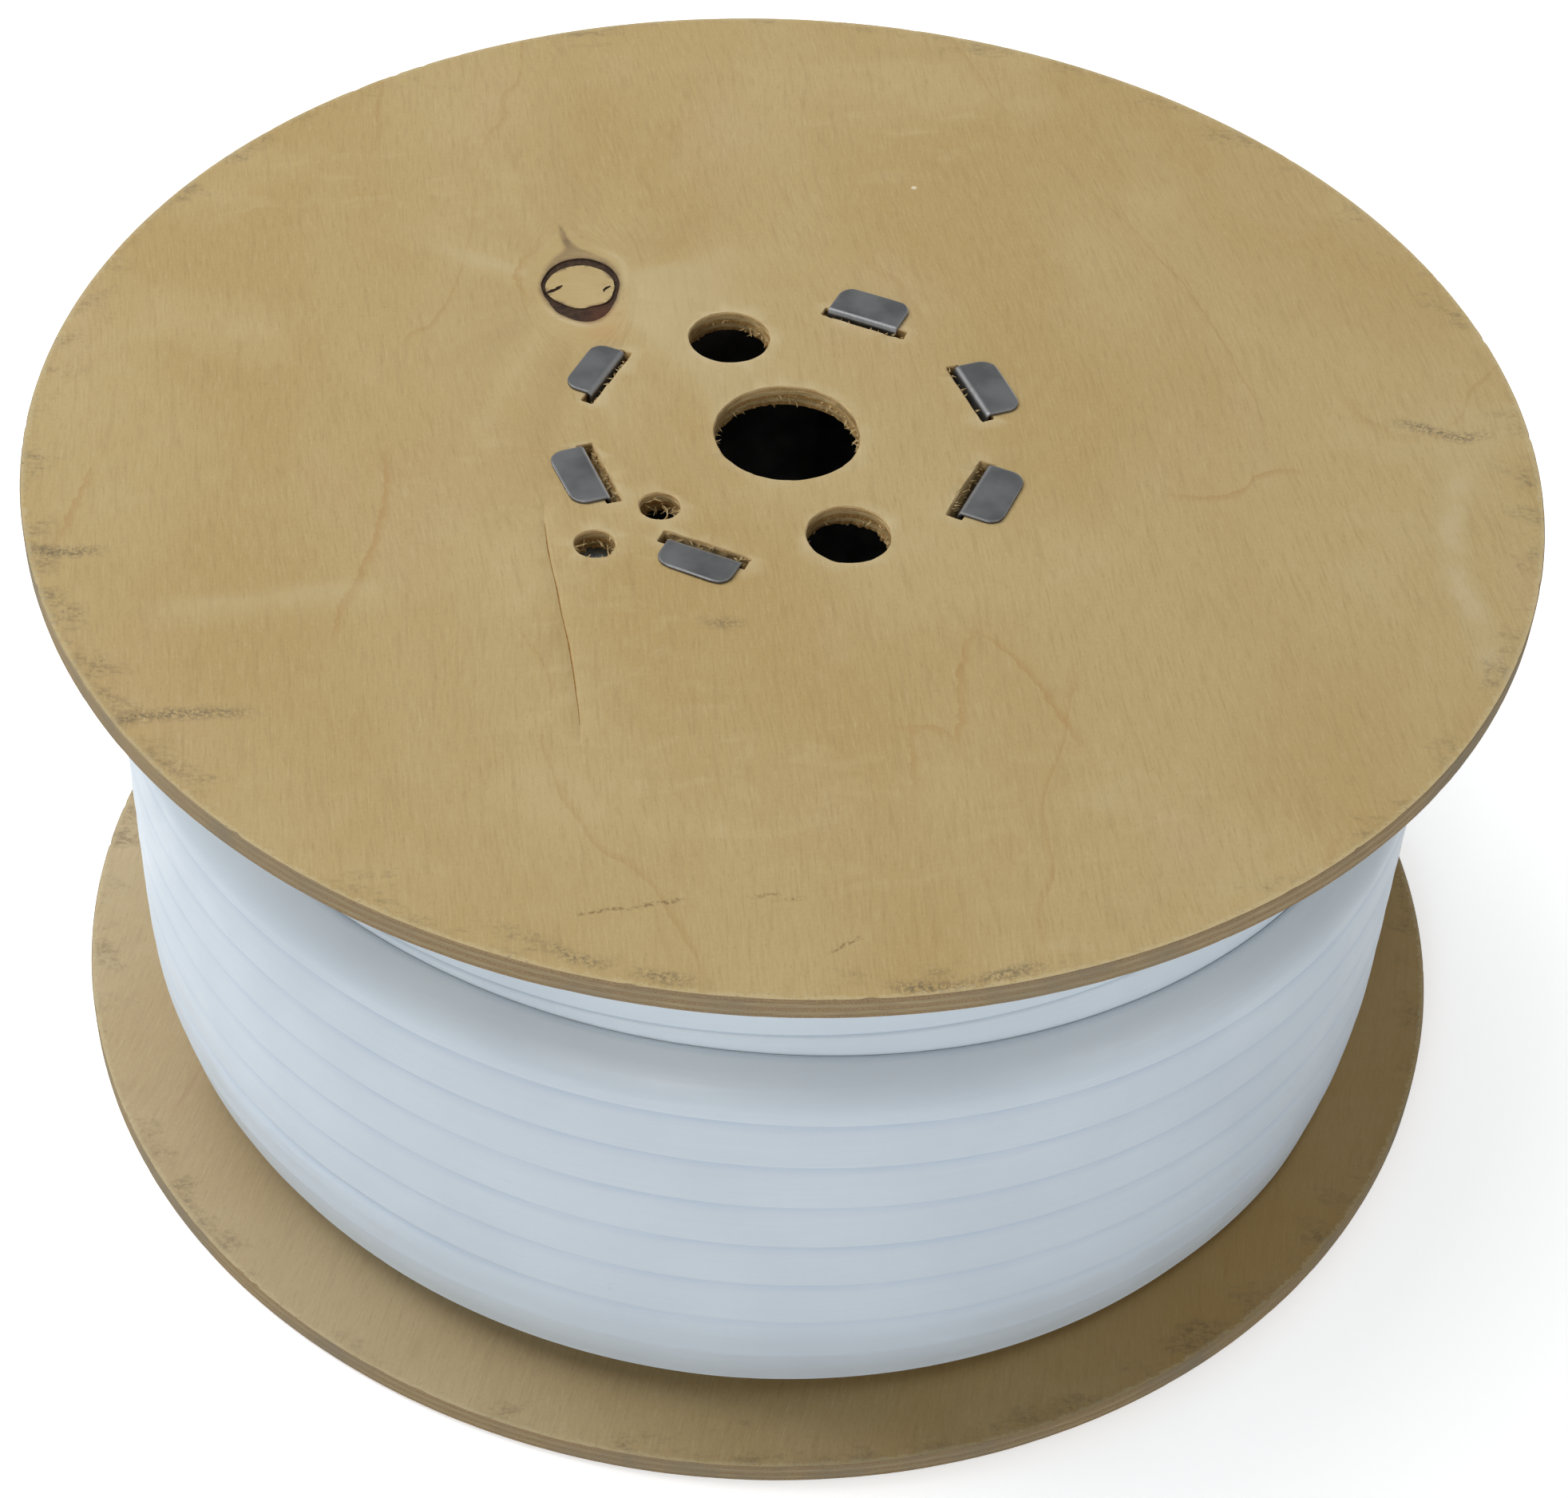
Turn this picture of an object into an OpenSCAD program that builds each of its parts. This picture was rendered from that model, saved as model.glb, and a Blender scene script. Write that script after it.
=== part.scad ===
/* [Flanges] */
// Outside diameter of each plywood flange
flange_d = 420; // [390:1:480]
// Thickness of the plywood
ply_t = 6.5; // [4:0.5:12]
// Size of the small bevel sanded on the rim's edges
rim_bevel = 0.6; // [0.2:0.1:1.5]

/* [Holes in each flange] */
// Diameter of the spindle hole in the middle
spindle_d = 40; // [25:1:60]
// Diameter of each of the two drive holes
drive_d = 22.5; // [12:0.5:24]
// Distance between the rim of a drive hole and the inside of the barrel
drive_gap = 0.3; // [0.3:0.1:6]
// Diameter of each of the two cable anchor holes
anchor_d = 10.5; // [6:0.5:12]
// Distance between the inner anchor hole and the inside of the barrel
anchor_in_gap = 4; // [2:0.5:8]
// Distance between the outer anchor hole and the outside of the barrel
anchor_out_gap = 8; // [2:0.5:14]

/* [Barrel] */
// Outside diameter of the rolled sheet barrel
barrel_d = 116; // [110:1:150]
// Thickness of the steel sheet
sheet_t = 1; // [0.6:0.1:1.6]
// Clear distance between the two flanges
traverse = 187; // [170:1:260]
// Width of the lap where the rolled sheet closes on itself, inside the barrel
lap_w = 12; // [6:0.5:18]

/* [Tabs] */
// Number of places for tabs, two of which are left out beside the drive holes
tab_places = 8; // [8:4:12]
// Width of a tab along its bend
tab_w = 23; // [16:0.5:26]
// Distance that a bent tab reaches out from the inside of the barrel
tab_reach = 11; // [8:0.1:18]
// Radius of a bent tab's two outer corners
tab_corner = 4.5; // [1:0.5:7]
// Inside radius of a tab's bend
bend_r = 0.6; // [0.3:0.1:1]

/* [Tab slots] */
// Open gap between a tab and the inner side of its slot
slot_in_gap = 2.4; // [0.5:0.1:4]
// Gap between the end of a tab's bend and the outer side of its slot
slot_out_gap = 0.1; // [0.1:0.1:1]
// Gap between a tab and each end of its slot
slot_end_gap = 1.1; // [0.3:0.1:2]

/* [Cable] */
// Width of the flat cable
cable_w = 16.4; // [12:0.1:20]
// Thickness of the flat cable
cable_h = 9.4; // [7:0.1:10.4]
// Radius of the cable section's corners where it is pressed against its neighbours
cable_corner = 1.6; // [1:0.1:3]
// Radius of its corners where a short layer ends and nothing presses on it
free_corner = 4.2; // [1.6:0.1:4.6]
// Play between neighbouring turns
turn_play = 0.4; // [0.1:0.1:1]
// Number of full layers, which reach from flange to flange
full_layers = 12; // [5:1:12]
// Number of short layers outside them, which stop before the top flange
short_layers = 2; // [1:1:2]
// Number of turns in the outermost layer
outer_turns = 8; // [3:1:8]
// Height of the outermost layer's first turn above the ends of the layers inside it
outer_start = 5.5; // [0.5:0.1:8]
// How much higher each short layer ends than the one outside it
short_step = 0.5; // [0.2:0.1:6]
// Gap between the winding and the barrel, and between the winding and each flange
winding_gap = 0.3; // [0.2:0.1:1]

/* [Hidden] */
$fn = 96;

// Small overshoot that carries a cut clear past a face
past = 1;

// Heights from the floor, on which the lower tabs stand
bottom_z = sheet_t;
inner_z = bottom_z + ply_t;
under_top_z = inner_z + traverse;

// The barrel is round, with a flat at each tab as wide as the tab's slot
barrel_r = barrel_d / 2;
barrel_in_r = barrel_r - sheet_t;
slot_w = tab_w + 2 * slot_end_gap;
flat_out = sqrt(barrel_r * barrel_r - slot_w * slot_w / 4);
flat_in = flat_out - sheet_t;
tab_angle = 360 / tab_places;

// The drive holes lie on the Y axis, so a tab's place there stays empty
function is_tab(i) = i * tab_angle % 180 != 90;
TABS = [for (i = [0 : tab_places - 1]) if (is_tab(i)) i * tab_angle];

drive_r = barrel_in_r - drive_gap - drive_d / 2;
anchor_angle = 180 + tab_angle / 2;
anchor_in_r = barrel_in_r - anchor_in_gap - anchor_d / 2;
anchor_out_r = barrel_r + anchor_out_gap + anchor_d / 2;

// The tab turns outwards round the bend, from its neck in the slot to its leaf on the plywood
tab_out = flat_in + tab_reach;
leaf_in = flat_out + bend_r;
bend_out_r = bend_r + sheet_t;
bend_z = ply_t - bend_r;

// The winding lies on the bottom flange, a whole number of turns high
turn_pitch = cable_w + turn_play;
layer_turns = floor((traverse - 2 * winding_gap + turn_play) / turn_pitch);
layers = full_layers + short_layers;
winding_in_r = barrel_r + winding_gap;
winding_z = inner_z + winding_gap;

// Shapes of the flange

module disc() {
    rotate_extrude($fn = 240)
        polygon([
            [0, 0],
            [flange_d / 2 - rim_bevel, 0],
            [flange_d / 2, rim_bevel],
            [flange_d / 2, ply_t - rim_bevel],
            [flange_d / 2 - rim_bevel, ply_t],
            [0, ply_t]
        ]);
}

module through_hole(diameter) {
    translate([0, 0, -past])
        cylinder(d = diameter, h = ply_t + 2 * past);
}

module tab_slot() {
    slot_in = flat_in - slot_in_gap;
    translate([slot_in, -slot_w / 2, -past])
        cube([leaf_in + slot_out_gap - slot_in, slot_w, ply_t + 2 * past]);
}

// One flange with its inner face at z = 0
module flange() {
    color("burlywood")
        difference() {
            disc();
            through_hole(spindle_d);
            for (side = [-1, 1])
                translate([0, side * drive_r, 0])
                    through_hole(drive_d);
            for (r = [anchor_in_r, anchor_out_r])
                rotate([0, 0, anchor_angle])
                    translate([r, 0, 0])
                        through_hole(anchor_d);
            for (a = TABS)
                rotate([0, 0, a])
                    tab_slot();
        }
}

module top_flange() {
    translate([0, 0, under_top_z])
        flange();
}

// The same disc turned over about the line of its drive holes
module bottom_flange() {
    translate([0, 0, inner_z])
        rotate([0, 180, 0])
            flange();
}

// Shapes of the barrel

// Round outline with a flat at each tab, for one side of the sheet
module barrel_outline(radius, flat) {
    difference() {
        circle(r = radius, $fn = 180);
        for (a = TABS)
            rotate([0, 0, a])
                translate([flat, -slot_w])
                    square([radius, 2 * slot_w]);
    }
}

// Section of the lap, half way between two tabs, where a second thickness of sheet lies inside the first
module lap_section() {
    rotate([0, 0, tab_angle / 2])
        intersection() {
            difference() {
                circle(r = barrel_in_r + sheet_t / 2, $fn = 180);
                circle(r = barrel_in_r - sheet_t, $fn = 180);
            }
            translate([0, -lap_w / 2])
                square([barrel_r, lap_w]);
        }
}

module barrel_wall() {
    translate([0, 0, inner_z])
        linear_extrude(height = traverse) {
            difference() {
                barrel_outline(barrel_r, flat_out);
                barrel_outline(barrel_in_r, flat_in);
            }
            lap_section();
        }
}

// Plan of a bent tab's leaf, from the end of the bend to its rounded outer corners
module leaf_plan() {
    corner_x = tab_out - tab_corner;
    corner_y = tab_w / 2 - tab_corner;
    translate([leaf_in, -tab_w / 2])
        square([corner_x - leaf_in, tab_w]);
    translate([leaf_in, -corner_y])
        square([tab_out - leaf_in, 2 * corner_y]);
    for (side = [-1, 1])
        translate([corner_x, side * corner_y])
            circle(r = tab_corner, $fn = 48);
}

// Side view of the neck and its bend: x is the distance from the axis, y the height above the inner face
module neck_profile() {
    translate([flat_in, 0])
        square([sheet_t, bend_z]);
    translate([leaf_in, bend_z])
        intersection() {
            difference() {
                circle(r = bend_out_r, $fn = 48);
                circle(r = bend_r, $fn = 48);
            }
            translate([-bend_out_r, 0])
                square([bend_out_r, bend_out_r]);
        }
}

// One tab, with the flange's inner face at z = 0
module tab() {
    rotate([90, 0, 0])
        linear_extrude(height = tab_w, center = true)
            neck_profile();
    translate([0, 0, ply_t])
        linear_extrude(height = sheet_t)
            leaf_plan();
}

module tab_ring() {
    for (a = TABS)
        rotate([0, 0, a])
            tab();
}

module barrel() {
    color("slategray") {
        barrel_wall();
        translate([0, 0, under_top_z])
            tab_ring();
        translate([0, 0, inner_z])
            mirror([0, 0, 1])
                tab_ring();
    }
}

// Shapes of the winding, in a section where x is the radius and y the height

corner_steps = 4;
free_steps = 8;

// Quarter of a circle that starts in the direction from
function quarter(x, y, radius, from, steps, first = 0) = [
    for (i = [first : steps])
        [x, y] + radius * [cos(from + 90 * i / steps), sin(from + 90 * i / steps)]
];

// Pressed corner of a cable section, whose first point may be shared with the corner before it
function corner(x, y, from, shared = false) =
    quarter(x, y, cable_corner, from, corner_steps, shared ? 1 : 0);

// A free corner is never larger than half the cable's thickness allows
flat_left = 0.2;
free_r = min(free_corner, (cable_h - flat_left) / 2);

function layer_r(layer) = winding_in_r + layer * cable_h;
function turn_z(turn) = winding_z + turn * turn_pitch;

// Groove beside a turn whose top is at the height z, on the radius r, up to the turn above it
function groove(r, z) = concat(
    corner(r - cable_corner, z - cable_corner, 0),
    corner(r - cable_corner, z + turn_play + cable_corner, 270)
);

function flatten(lists) = [for (list = lists) each list];

outer_z = winding_z + outer_start;
outer_top = outer_z + (outer_turns - 1) * turn_pitch + cable_w;
full_top = turn_z(layer_turns - 1) + cable_w;

// Top of a short layer, counted inwards from the outermost, which is 0
function short_top(inwards) = outer_top + inwards * short_step;

// First turn of the last full layer whose groove lies above the short layers
first_bare = ceil((short_top(short_layers - 1) - winding_z + cable_corner + turn_play) / turn_pitch);

// Bottom end, where each layer but the outermost shows as a ring
BOTTOM = flatten([
    for (layer = [0 : layers - 2])
        concat(
            corner(layer_r(layer) + cable_corner, winding_z + cable_corner, 180, layer > 0),
            corner(layer_r(layer + 1) - cable_corner, winding_z + cable_corner, 270)
        )
]);

// Outside of the outermost layer, below its last turn's top
OUTER = concat(
    corner(layer_r(layers - 1) + cable_corner, outer_z + cable_corner, 180),
    corner(layer_r(layers) - cable_corner, outer_z + cable_corner, 270),
    flatten([
        for (turn = [1 : outer_turns - 1])
            groove(layer_r(layers), outer_z + turn * turn_pitch - turn_play)
    ])
);

// Tops of the short layers, like steps
STEPS = flatten([
    for (inwards = [0 : short_layers - 1])
        concat(
            quarter(layer_r(layers - inwards) - free_r, short_top(inwards) - free_r, free_r, 0, free_steps),
            quarter(layer_r(layers - inwards - 1) + free_r, short_top(inwards) - free_r, free_r, 90, free_steps)
        )
]);

// Turns of the last full layer that stay bare beside the top flange
BARE = flatten([
    for (turn = [first_bare : layer_turns - 1])
        groove(layer_r(full_layers), turn_z(turn) - turn_play)
]);

// Top end, where each full layer shows as a ring
TOP = flatten([
    for (layer = [full_layers - 1 : -1 : 0])
        concat(
            corner(layer_r(layer + 1) - cable_corner, full_top - cable_corner, 0, layer < full_layers - 1),
            corner(layer_r(layer) + cable_corner, full_top - cable_corner, 90)
        )
]);

module cable_winding() {
    color("lightsteelblue")
        rotate_extrude($fn = 180)
            polygon(concat(BOTTOM, OUTER, STEPS, BARE, TOP));
}

top_flange();
bottom_flange();
barrel();
cable_winding();
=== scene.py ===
import math

import bpy
import numpy as np
from mathutils import Matrix, Vector
from mathutils.geometry import delaunay_2d_cdt


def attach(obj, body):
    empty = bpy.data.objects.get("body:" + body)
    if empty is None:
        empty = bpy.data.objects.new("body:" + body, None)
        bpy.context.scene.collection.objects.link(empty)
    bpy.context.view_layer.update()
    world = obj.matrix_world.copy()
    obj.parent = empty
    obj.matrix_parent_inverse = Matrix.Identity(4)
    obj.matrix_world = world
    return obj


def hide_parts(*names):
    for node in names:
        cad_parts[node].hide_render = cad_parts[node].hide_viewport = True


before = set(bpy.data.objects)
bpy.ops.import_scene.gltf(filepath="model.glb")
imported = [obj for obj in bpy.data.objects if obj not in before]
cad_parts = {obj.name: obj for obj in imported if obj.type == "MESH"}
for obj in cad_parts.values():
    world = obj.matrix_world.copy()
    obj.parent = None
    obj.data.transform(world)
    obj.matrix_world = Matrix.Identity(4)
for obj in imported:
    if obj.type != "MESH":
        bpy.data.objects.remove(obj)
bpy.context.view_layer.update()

MM = 0.001
TAU = 2 * math.pi

# A direction in the photograph plus this angle is the same direction in the drum's frame
PHOTO_TURN = math.radians(-25.5)

# Camera place in mm and its angles, with the drum in the photograph's own directions
CAMERA_AT = (28.8, -743.2, 806.8)
CAMERA_YAW = -0.0331
CAMERA_PITCH = 0.7754
CAMERA_ROLL = 0.0573
CAMERA_LENS = 78.784
SENSOR = 36.0


def turned(x, y, turn=PHOTO_TURN):
    """A point turned about the spindle, by itself from the photograph's directions to the drum's frame."""
    c, s = math.cos(turn), math.sin(turn)
    return x * c - y * s, x * s + y * c


def all_turned(points, turn):
    """An array of points turned about the spindle."""
    c, s = math.cos(turn), math.sin(turn)
    return points @ np.array([[c, s], [-s, c]])


def on_circle(radius, turn):
    return radius * math.cos(turn), radius * math.sin(turn)


def add_to_scene(name, data):
    thing = bpy.data.objects.new(name, data)
    bpy.context.scene.collection.objects.link(thing)
    return thing


def add_camera():
    level, fall = math.cos(CAMERA_PITCH), math.sin(CAMERA_PITCH)
    ahead = Vector((math.sin(CAMERA_YAW) * level, math.cos(CAMERA_YAW) * level, -fall))
    right = ahead.cross(Vector((0, 0, 1))).normalized()
    up = right.cross(ahead)
    c, s = math.cos(CAMERA_ROLL), math.sin(CAMERA_ROLL)
    axes = Matrix((c * right + s * up, -s * right + c * up, -ahead)).transposed()
    data = bpy.data.cameras.new("camera")
    data.sensor_fit = "HORIZONTAL"
    data.sensor_width = SENSOR
    data.lens = CAMERA_LENS
    data.clip_start = 0.01
    data.clip_end = 50
    cam = add_to_scene("camera", data)
    turn = Matrix.Rotation(PHOTO_TURN, 4, "Z")
    cam.matrix_world = turn @ Matrix.Translation(Vector(CAMERA_AT) * MM) @ axes.to_4x4()
    bpy.context.scene.camera = cam


add_camera()


# Sizes that repeat the part's own, in metres

PLY = 6.5 * MM
FLANGE_R = 210 * MM
BEVEL = 0.5 * MM
SPINDLE_R = 20 * MM
DRIVE_R = 11.25 * MM
DRIVE_AT = 45.45 * MM
ANCHOR_R = 5.25 * MM
ANCHOR_TURN = math.radians(202.5)
ANCHORS_AT = (47.75 * MM, 71.25 * MM)
SLOT_IN = 53.2 * MM
SLOT_OUT = 57.3 * MM
SLOT_HALF = 12.6 * MM
BOTTOM_Z = 1.0 * MM
UNDER_TOP_Z = 194.5 * MM
TOP_Z = UNDER_TOP_Z + PLY
INNER_Z = 7.5 * MM
SHEET = 1.0 * MM
BARREL_OUT_R = 58.0 * MM
FLAT_IN = 55.61 * MM
FLAT_HALF = 12.6 * MM
LEAF_IN = 57.21 * MM
BEND_R = 0.6 * MM
LEAF_CORNER = 4.5 * MM
LAP_TURN = math.radians(22.5)
LAP_HALF = 6 * MM

# The tabs of the top flange: direction in degrees, reach from the axis and the widths to either side, in mm,
# and how far torn wood closes the inner side of the slot
TOP_TABS = (
    (0, 67.1, 11.5, 11.5, 1.2),
    (45, 68.6, 9.9, 11.6, 1.3),
    (135, 65.0, 11.6, 9.7, 1.3),
    (180, 66.5, 11.5, 11.3, 0.1),
    (225, 66.4, 10.2, 11.5, 0.0),
    (315, 67.6, 11.5, 11.4, 0.2),
)
# The same for the bottom flange, seen from above
BOTTOM_TABS = (
    (0, 66.9, 11.4, 11.5, 0.2),
    (45, 67.3, 11.2, 11.5, 0.9),
    (135, 66.2, 11.5, 10.8, 0.2),
    (180, 67.8, 10.6, 11.5, 0.1),
    (225, 65.9, 11.5, 11.5, 0.6),
    (315, 66.7, 11.3, 11.2, 0.3),
)
# How far the torn inner side of a slot slopes
SLOPE = 1.3 * MM

# The round holes: middle, radius, points round it, and in mm how deep the wall, its upper edge and its lower
# edge are torn and how far fibres reach in
ROUND_HOLES = [
    (0, 0, SPINDLE_R, 300, 0.6, 0.4, 0.4, 1.5),
    (0, DRIVE_AT, DRIVE_R, 180, 0.5, 0.35, 0.4, 1.2),
    (0, -DRIVE_AT, DRIVE_R, 180, 0.5, 0.35, 0.4, 1.4),
]
for anchor_at in ANCHORS_AT:
    ROUND_HOLES.append((*on_circle(anchor_at, ANCHOR_TURN), ANCHOR_R, 96, 0.5, 0.8, 0.2, 3.4))

# The knot: its middle, and the radii of its ring and of its plug by direction, in mm
KNOT_AT = turned(-65.0 * MM, 58.3 * MM)
KNOT_TURNS = (0, 30, 60, 90, 120, 150, 180, 210, 225, 240, 270, 285, 300, 315, 330)
KNOT_RING = (11.4, 12.4, 14.1, 15.0, 13.9, 11.9, 10.9, 10.6, 10.9, 12.2, 14.8, 16.2, 15.8, 13.9, 12.3)
KNOT_PLUG = (10.1, 10.8, 11.2, 11.4, 10.6, 10.1, 9.9, 9.3, 8.9, 8.5, 9.3, 9.6, 8.9, 9.5, 10.2)
KNOT_DEPTH = 0.6 * MM
# Notches in the plug: points with half their width, in mm from the knot's middle
KNOT_NOTCHES = (
    ((-9.0, -3.4, 0.5), (-7.6, -2.0, 0.75), (-6.0, -0.4, 0.7), (-4.9, 0.9, 0.25)),
    ((9.0, 2.4, 0.3), (8.0, 1.5, 0.5), (7.3, 0.3, 0.4), (7.5, -0.9, 0.15)),
)
# The flame of stained wood above the knot: height, left side and right side, in mm
KNOT_FLAME = ((6, -11.5, 12), (11, -10.6, 10.6), (14, -9.2, 8.2), (16, -8, 5.6), (18, -6.8, 1.8),
              (20, -7, -2.6), (23, -8, -5.2), (26, -8.8, -6.9), (29, -9.4, -8.3), (31, -9.6, -9.2))
# How far from the knot the fibres flow round it, and how far they wander everywhere
KNOT_FLOW = 13 * MM
GRAIN_DRIFT = 0.03

# The crack runs with the grain, in the photograph's directions, in mm
CRACK = ((-63.4, -38.5), (-62.4, -46.0), (-60.0, -56.7), (-55.8, -71.7), (-50.0, -93.3),
         (-46.3, -110.0), (-43.6, -123.0), (-42.9, -129.5))
CRACK_POINTS = 84
CRACK_WIDTH = 0.5 * MM
CRACK_DEPTH = 0.12 * MM

# Marks of the top face, in mm in the photograph's directions. Those that run up are (y, x), the rest (x, y).
LINES_UP = (
    ((-96, -111.2), (-89.5, -111.2), (-72.7, -108.3), (-53.7, -106.4), (-24, -109.4)),
    ((-118, 51.0), (-110.9, 51.8), (-100.5, 51.8), (-91.5, 51.1), (-83.7, 52.2), (-77, 53.8)),
    ((-115, 82.4), (-109.2, 79.3), (-92.8, 70.8), (-81.1, 61.1), (-76.3, 55.4)),
    ((-134, 41.2), (-122.4, 40.1), (-114, 39.4)),
    ((-67.1, -189.7), (-56.8, -188.6), (-38.8, -186.7)),
    ((52, -79.5), (58, -83.0), (66, -84.5), (74, -81.5)),
)
LINES_ACROSS = (
    ((108.9, -13.8), (118.1, -13.3), (127.2, -8.8), (131.1, -2.1), (141.6, 1.2)),
    ((39.4, -113.8), (45.8, -113.0), (51.0, -116.8)),
)
SMUDGES = (
    ((-197, -74.0), (-190, -73.5), (-178, -71.6)),
    ((-160, -134.5), (-149.2, -131.3), (-128, -127.6)),
    ((172, 25.5), (180, 23.7), (188.8, 21.1), (195, 23.0)),
    ((-14.5, -80.2), (-11.1, -80.6), (-7.5, -79.8)),
    ((-41.8, -198.8), (-38.0, -200.4), (-29.0, -202.7)),
    ((-20.3, -204.1), (-15.1, -205.5), (-8.8, -205.8)),
    ((40.1, -202.0), (50.1, -201.6), (58.9, -199.4)),
    ((59.8, -198.3), (68.8, -194.2), (73.8, -192.1)),
)
NICKS = (
    ((-36.8, -187.6), (-24.3, -183.8), (-12.2, -180.1)),
    ((4.0, -177.5), (7.0, -176.4), (10.5, -175.7)),
    ((12.7, -177.3), (14.6, -176.6), (16.7, -176.1)),
    ((23.6, -193.6), (26.5, -191.2), (31.1, -187.8)),
)
SCUFF_UP = ((-76, 190.0), (-56.8, 187.8), (-31.6, 183.1), (2.7, 187.6))
SCUFF_ACROSS = ((-160, -93.0), (-140, -87.5), (-113.2, -80.0), (-98, -78.0))
SPECK_AT = (29.8, 121.4)


# Materials

class Nodes:
    """A short way to write a tree of nodes."""

    def __init__(self, tree):
        self.tree = tree
        self.tree.nodes.clear()

    def put(self, socket, value):
        if isinstance(value, bpy.types.NodeSocket):
            self.tree.links.new(value, socket)
        elif value is not None:
            socket.default_value = value

    def node(self, kind, inputs=None, out=0, **props):
        n = self.tree.nodes.new(kind)
        for key, value in props.items():
            setattr(n, key, value)
        for key, value in (inputs or {}).items():
            self.put(n.inputs[key], value)
        return n.outputs[out]

    def math(self, operation, a, b=None, clamp=False):
        return self.node("ShaderNodeMath", {0: a, 1: b}, operation=operation, use_clamp=clamp)

    def add(self, a, b, clamp=False):
        return self.math("ADD", a, b, clamp)

    def sub(self, a, b):
        return self.math("SUBTRACT", a, b)

    def mul(self, a, b, clamp=False):
        return self.math("MULTIPLY", a, b, clamp)

    def div(self, a, b, clamp=False):
        return self.math("DIVIDE", a, b, clamp)

    def most(self, a, b):
        return self.math("MAXIMUM", a, b)

    def length(self, a, b):
        return self.math("SQRT", self.add(self.mul(a, a), self.mul(b, b)))

    def split(self, vector):
        x = self.node("ShaderNodeSeparateXYZ", {0: vector})
        return x.node.outputs[0], x.node.outputs[1], x.node.outputs[2]

    def seen(self):
        """1 for the rays that show a thing to the camera, straight or in a reflection."""
        rays = self.node("ShaderNodeLightPath").node.outputs
        shown = self.add(rays["Is Camera Ray"], rays["Is Glossy Ray"])
        return self.add(shown, rays["Is Transmission Ray"], clamp=True)


class Shader(Nodes):
    """A node material. Its colour is built up by blending one tone after another into it."""

    def __init__(self, name, **principled):
        self.mat = bpy.data.materials.new(name)
        self.mat.use_nodes = True
        super().__init__(self.mat.node_tree)
        self.out = self.tree.nodes.new("ShaderNodeOutputMaterial")
        self.bsdf = self.tree.nodes.new("ShaderNodeBsdfPrincipled")
        self.put(self.out.inputs["Surface"], self.bsdf.outputs[0])
        for key, value in principled.items():
            self.bsdf.inputs[key.replace("_", " ")].default_value = value
        self.colour = None

    def place(self):
        return self.node("ShaderNodeTexCoord", out="Object")

    def join(self, x, y, z=0.0):
        return self.node("ShaderNodeCombineXYZ", {0: x, 1: y, 2: z})

    def scaled(self, vector, scale, turn=0.0, shift=(0, 0, 0)):
        return self.node("ShaderNodeMapping", {"Vector": vector, "Scale": scale,
                                               "Rotation": (0, 0, turn), "Location": shift})

    def in_photo(self, vector):
        """The place in the photograph's directions."""
        return self.scaled(vector, (1, 1, 1), turn=-PHOTO_TURN)

    def noise(self, vector, scale=1.0, detail=2.0, rough=0.5, bend=0.0):
        return self.node("ShaderNodeTexNoise", {"Vector": vector, "Scale": scale, "Detail": detail,
                                                "Roughness": rough, "Distortion": bend}, out="Fac")

    def step(self, value, low, high, to_low=0.0, to_high=1.0):
        """A smooth step of value from low to high."""
        return self.node("ShaderNodeMapRange", {"Value": value, "From Min": low, "From Max": high,
                                                "To Min": to_low, "To Max": to_high},
                         interpolation_type="SMOOTHSTEP")

    def curve(self, value, table):
        """A smooth function of value through the points of table, all of them in metres."""
        xs, ys = zip(*table)
        low, high = min(ys) - 1 * MM, max(ys) + 1 * MM
        n = self.tree.nodes.new("ShaderNodeFloatCurve")
        points = n.mapping.curves[0].points
        scaled = [((x - xs[0]) / (xs[-1] - xs[0]), (y - low) / (high - low)) for x, y in table]
        points[0].location, points[-1].location = scaled[0], scaled[-1]
        for x, y in scaled[1:-1]:
            points.new(x, y)
        n.mapping.update()
        self.put(n.inputs["Value"], self.div(self.sub(value, xs[0]), xs[-1] - xs[0], clamp=True))
        return self.add(self.mul(n.outputs[0], high - low), low)

    def trail(self, along, across, table, before, after, fade):
        """1 on a line through the points of table and 0 away from it. It fades over its ends. In mm."""
        table = [(a * MM, b * MM) for a, b in table]
        start, end, fade = table[0][0], table[-1][0], fade * MM
        off = self.sub(across, self.curve(along, table))
        line = self.mul(self.step(off, -before * MM, 0.0), self.step(off, 0.0, after * MM, 1, 0))
        begun = self.step(along, start - fade, start + fade)
        ended = self.step(along, end - fade, end + fade, 1, 0)
        return self.mul(line, self.mul(begun, ended))

    def trails(self, along, across, tables, before, after, fade):
        """1 on any of several lines."""
        out = 0.0
        for table in tables:
            out = self.most(out, self.trail(along, across, table, before, after, fade))
        return out

    def mix(self, amount, a, b):
        return self.node("ShaderNodeMix", {0: amount, 6: a, 7: b}, out=2, data_type="RGBA")

    def start(self, value, low, high, one, other):
        """The colour to start from: from one to other as value goes from low to high."""
        self.colour = self.mix(self.step(value, low, high), tone(one), tone(other))

    def tint(self, amount, colour):
        """Blends another colour into the one so far."""
        self.colour = self.mix(amount, self.colour, tone(colour))

    def attribute(self, name):
        return self.node("ShaderNodeAttribute", out="Fac", attribute_name=name)

    def done(self, height=None, strength=0.0, distance=0.0, rough=None):
        """Puts in the colour, the relief and the roughness, and returns the material."""
        self.put(self.bsdf.inputs["Base Color"], self.colour)
        self.put(self.bsdf.inputs["Roughness"], rough)
        if height is not None:
            bump = self.node("ShaderNodeBump", {"Height": height, "Strength": strength,
                                                "Distance": distance * MM})
            self.put(self.bsdf.inputs["Normal"], bump)
        return self.mat


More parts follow.
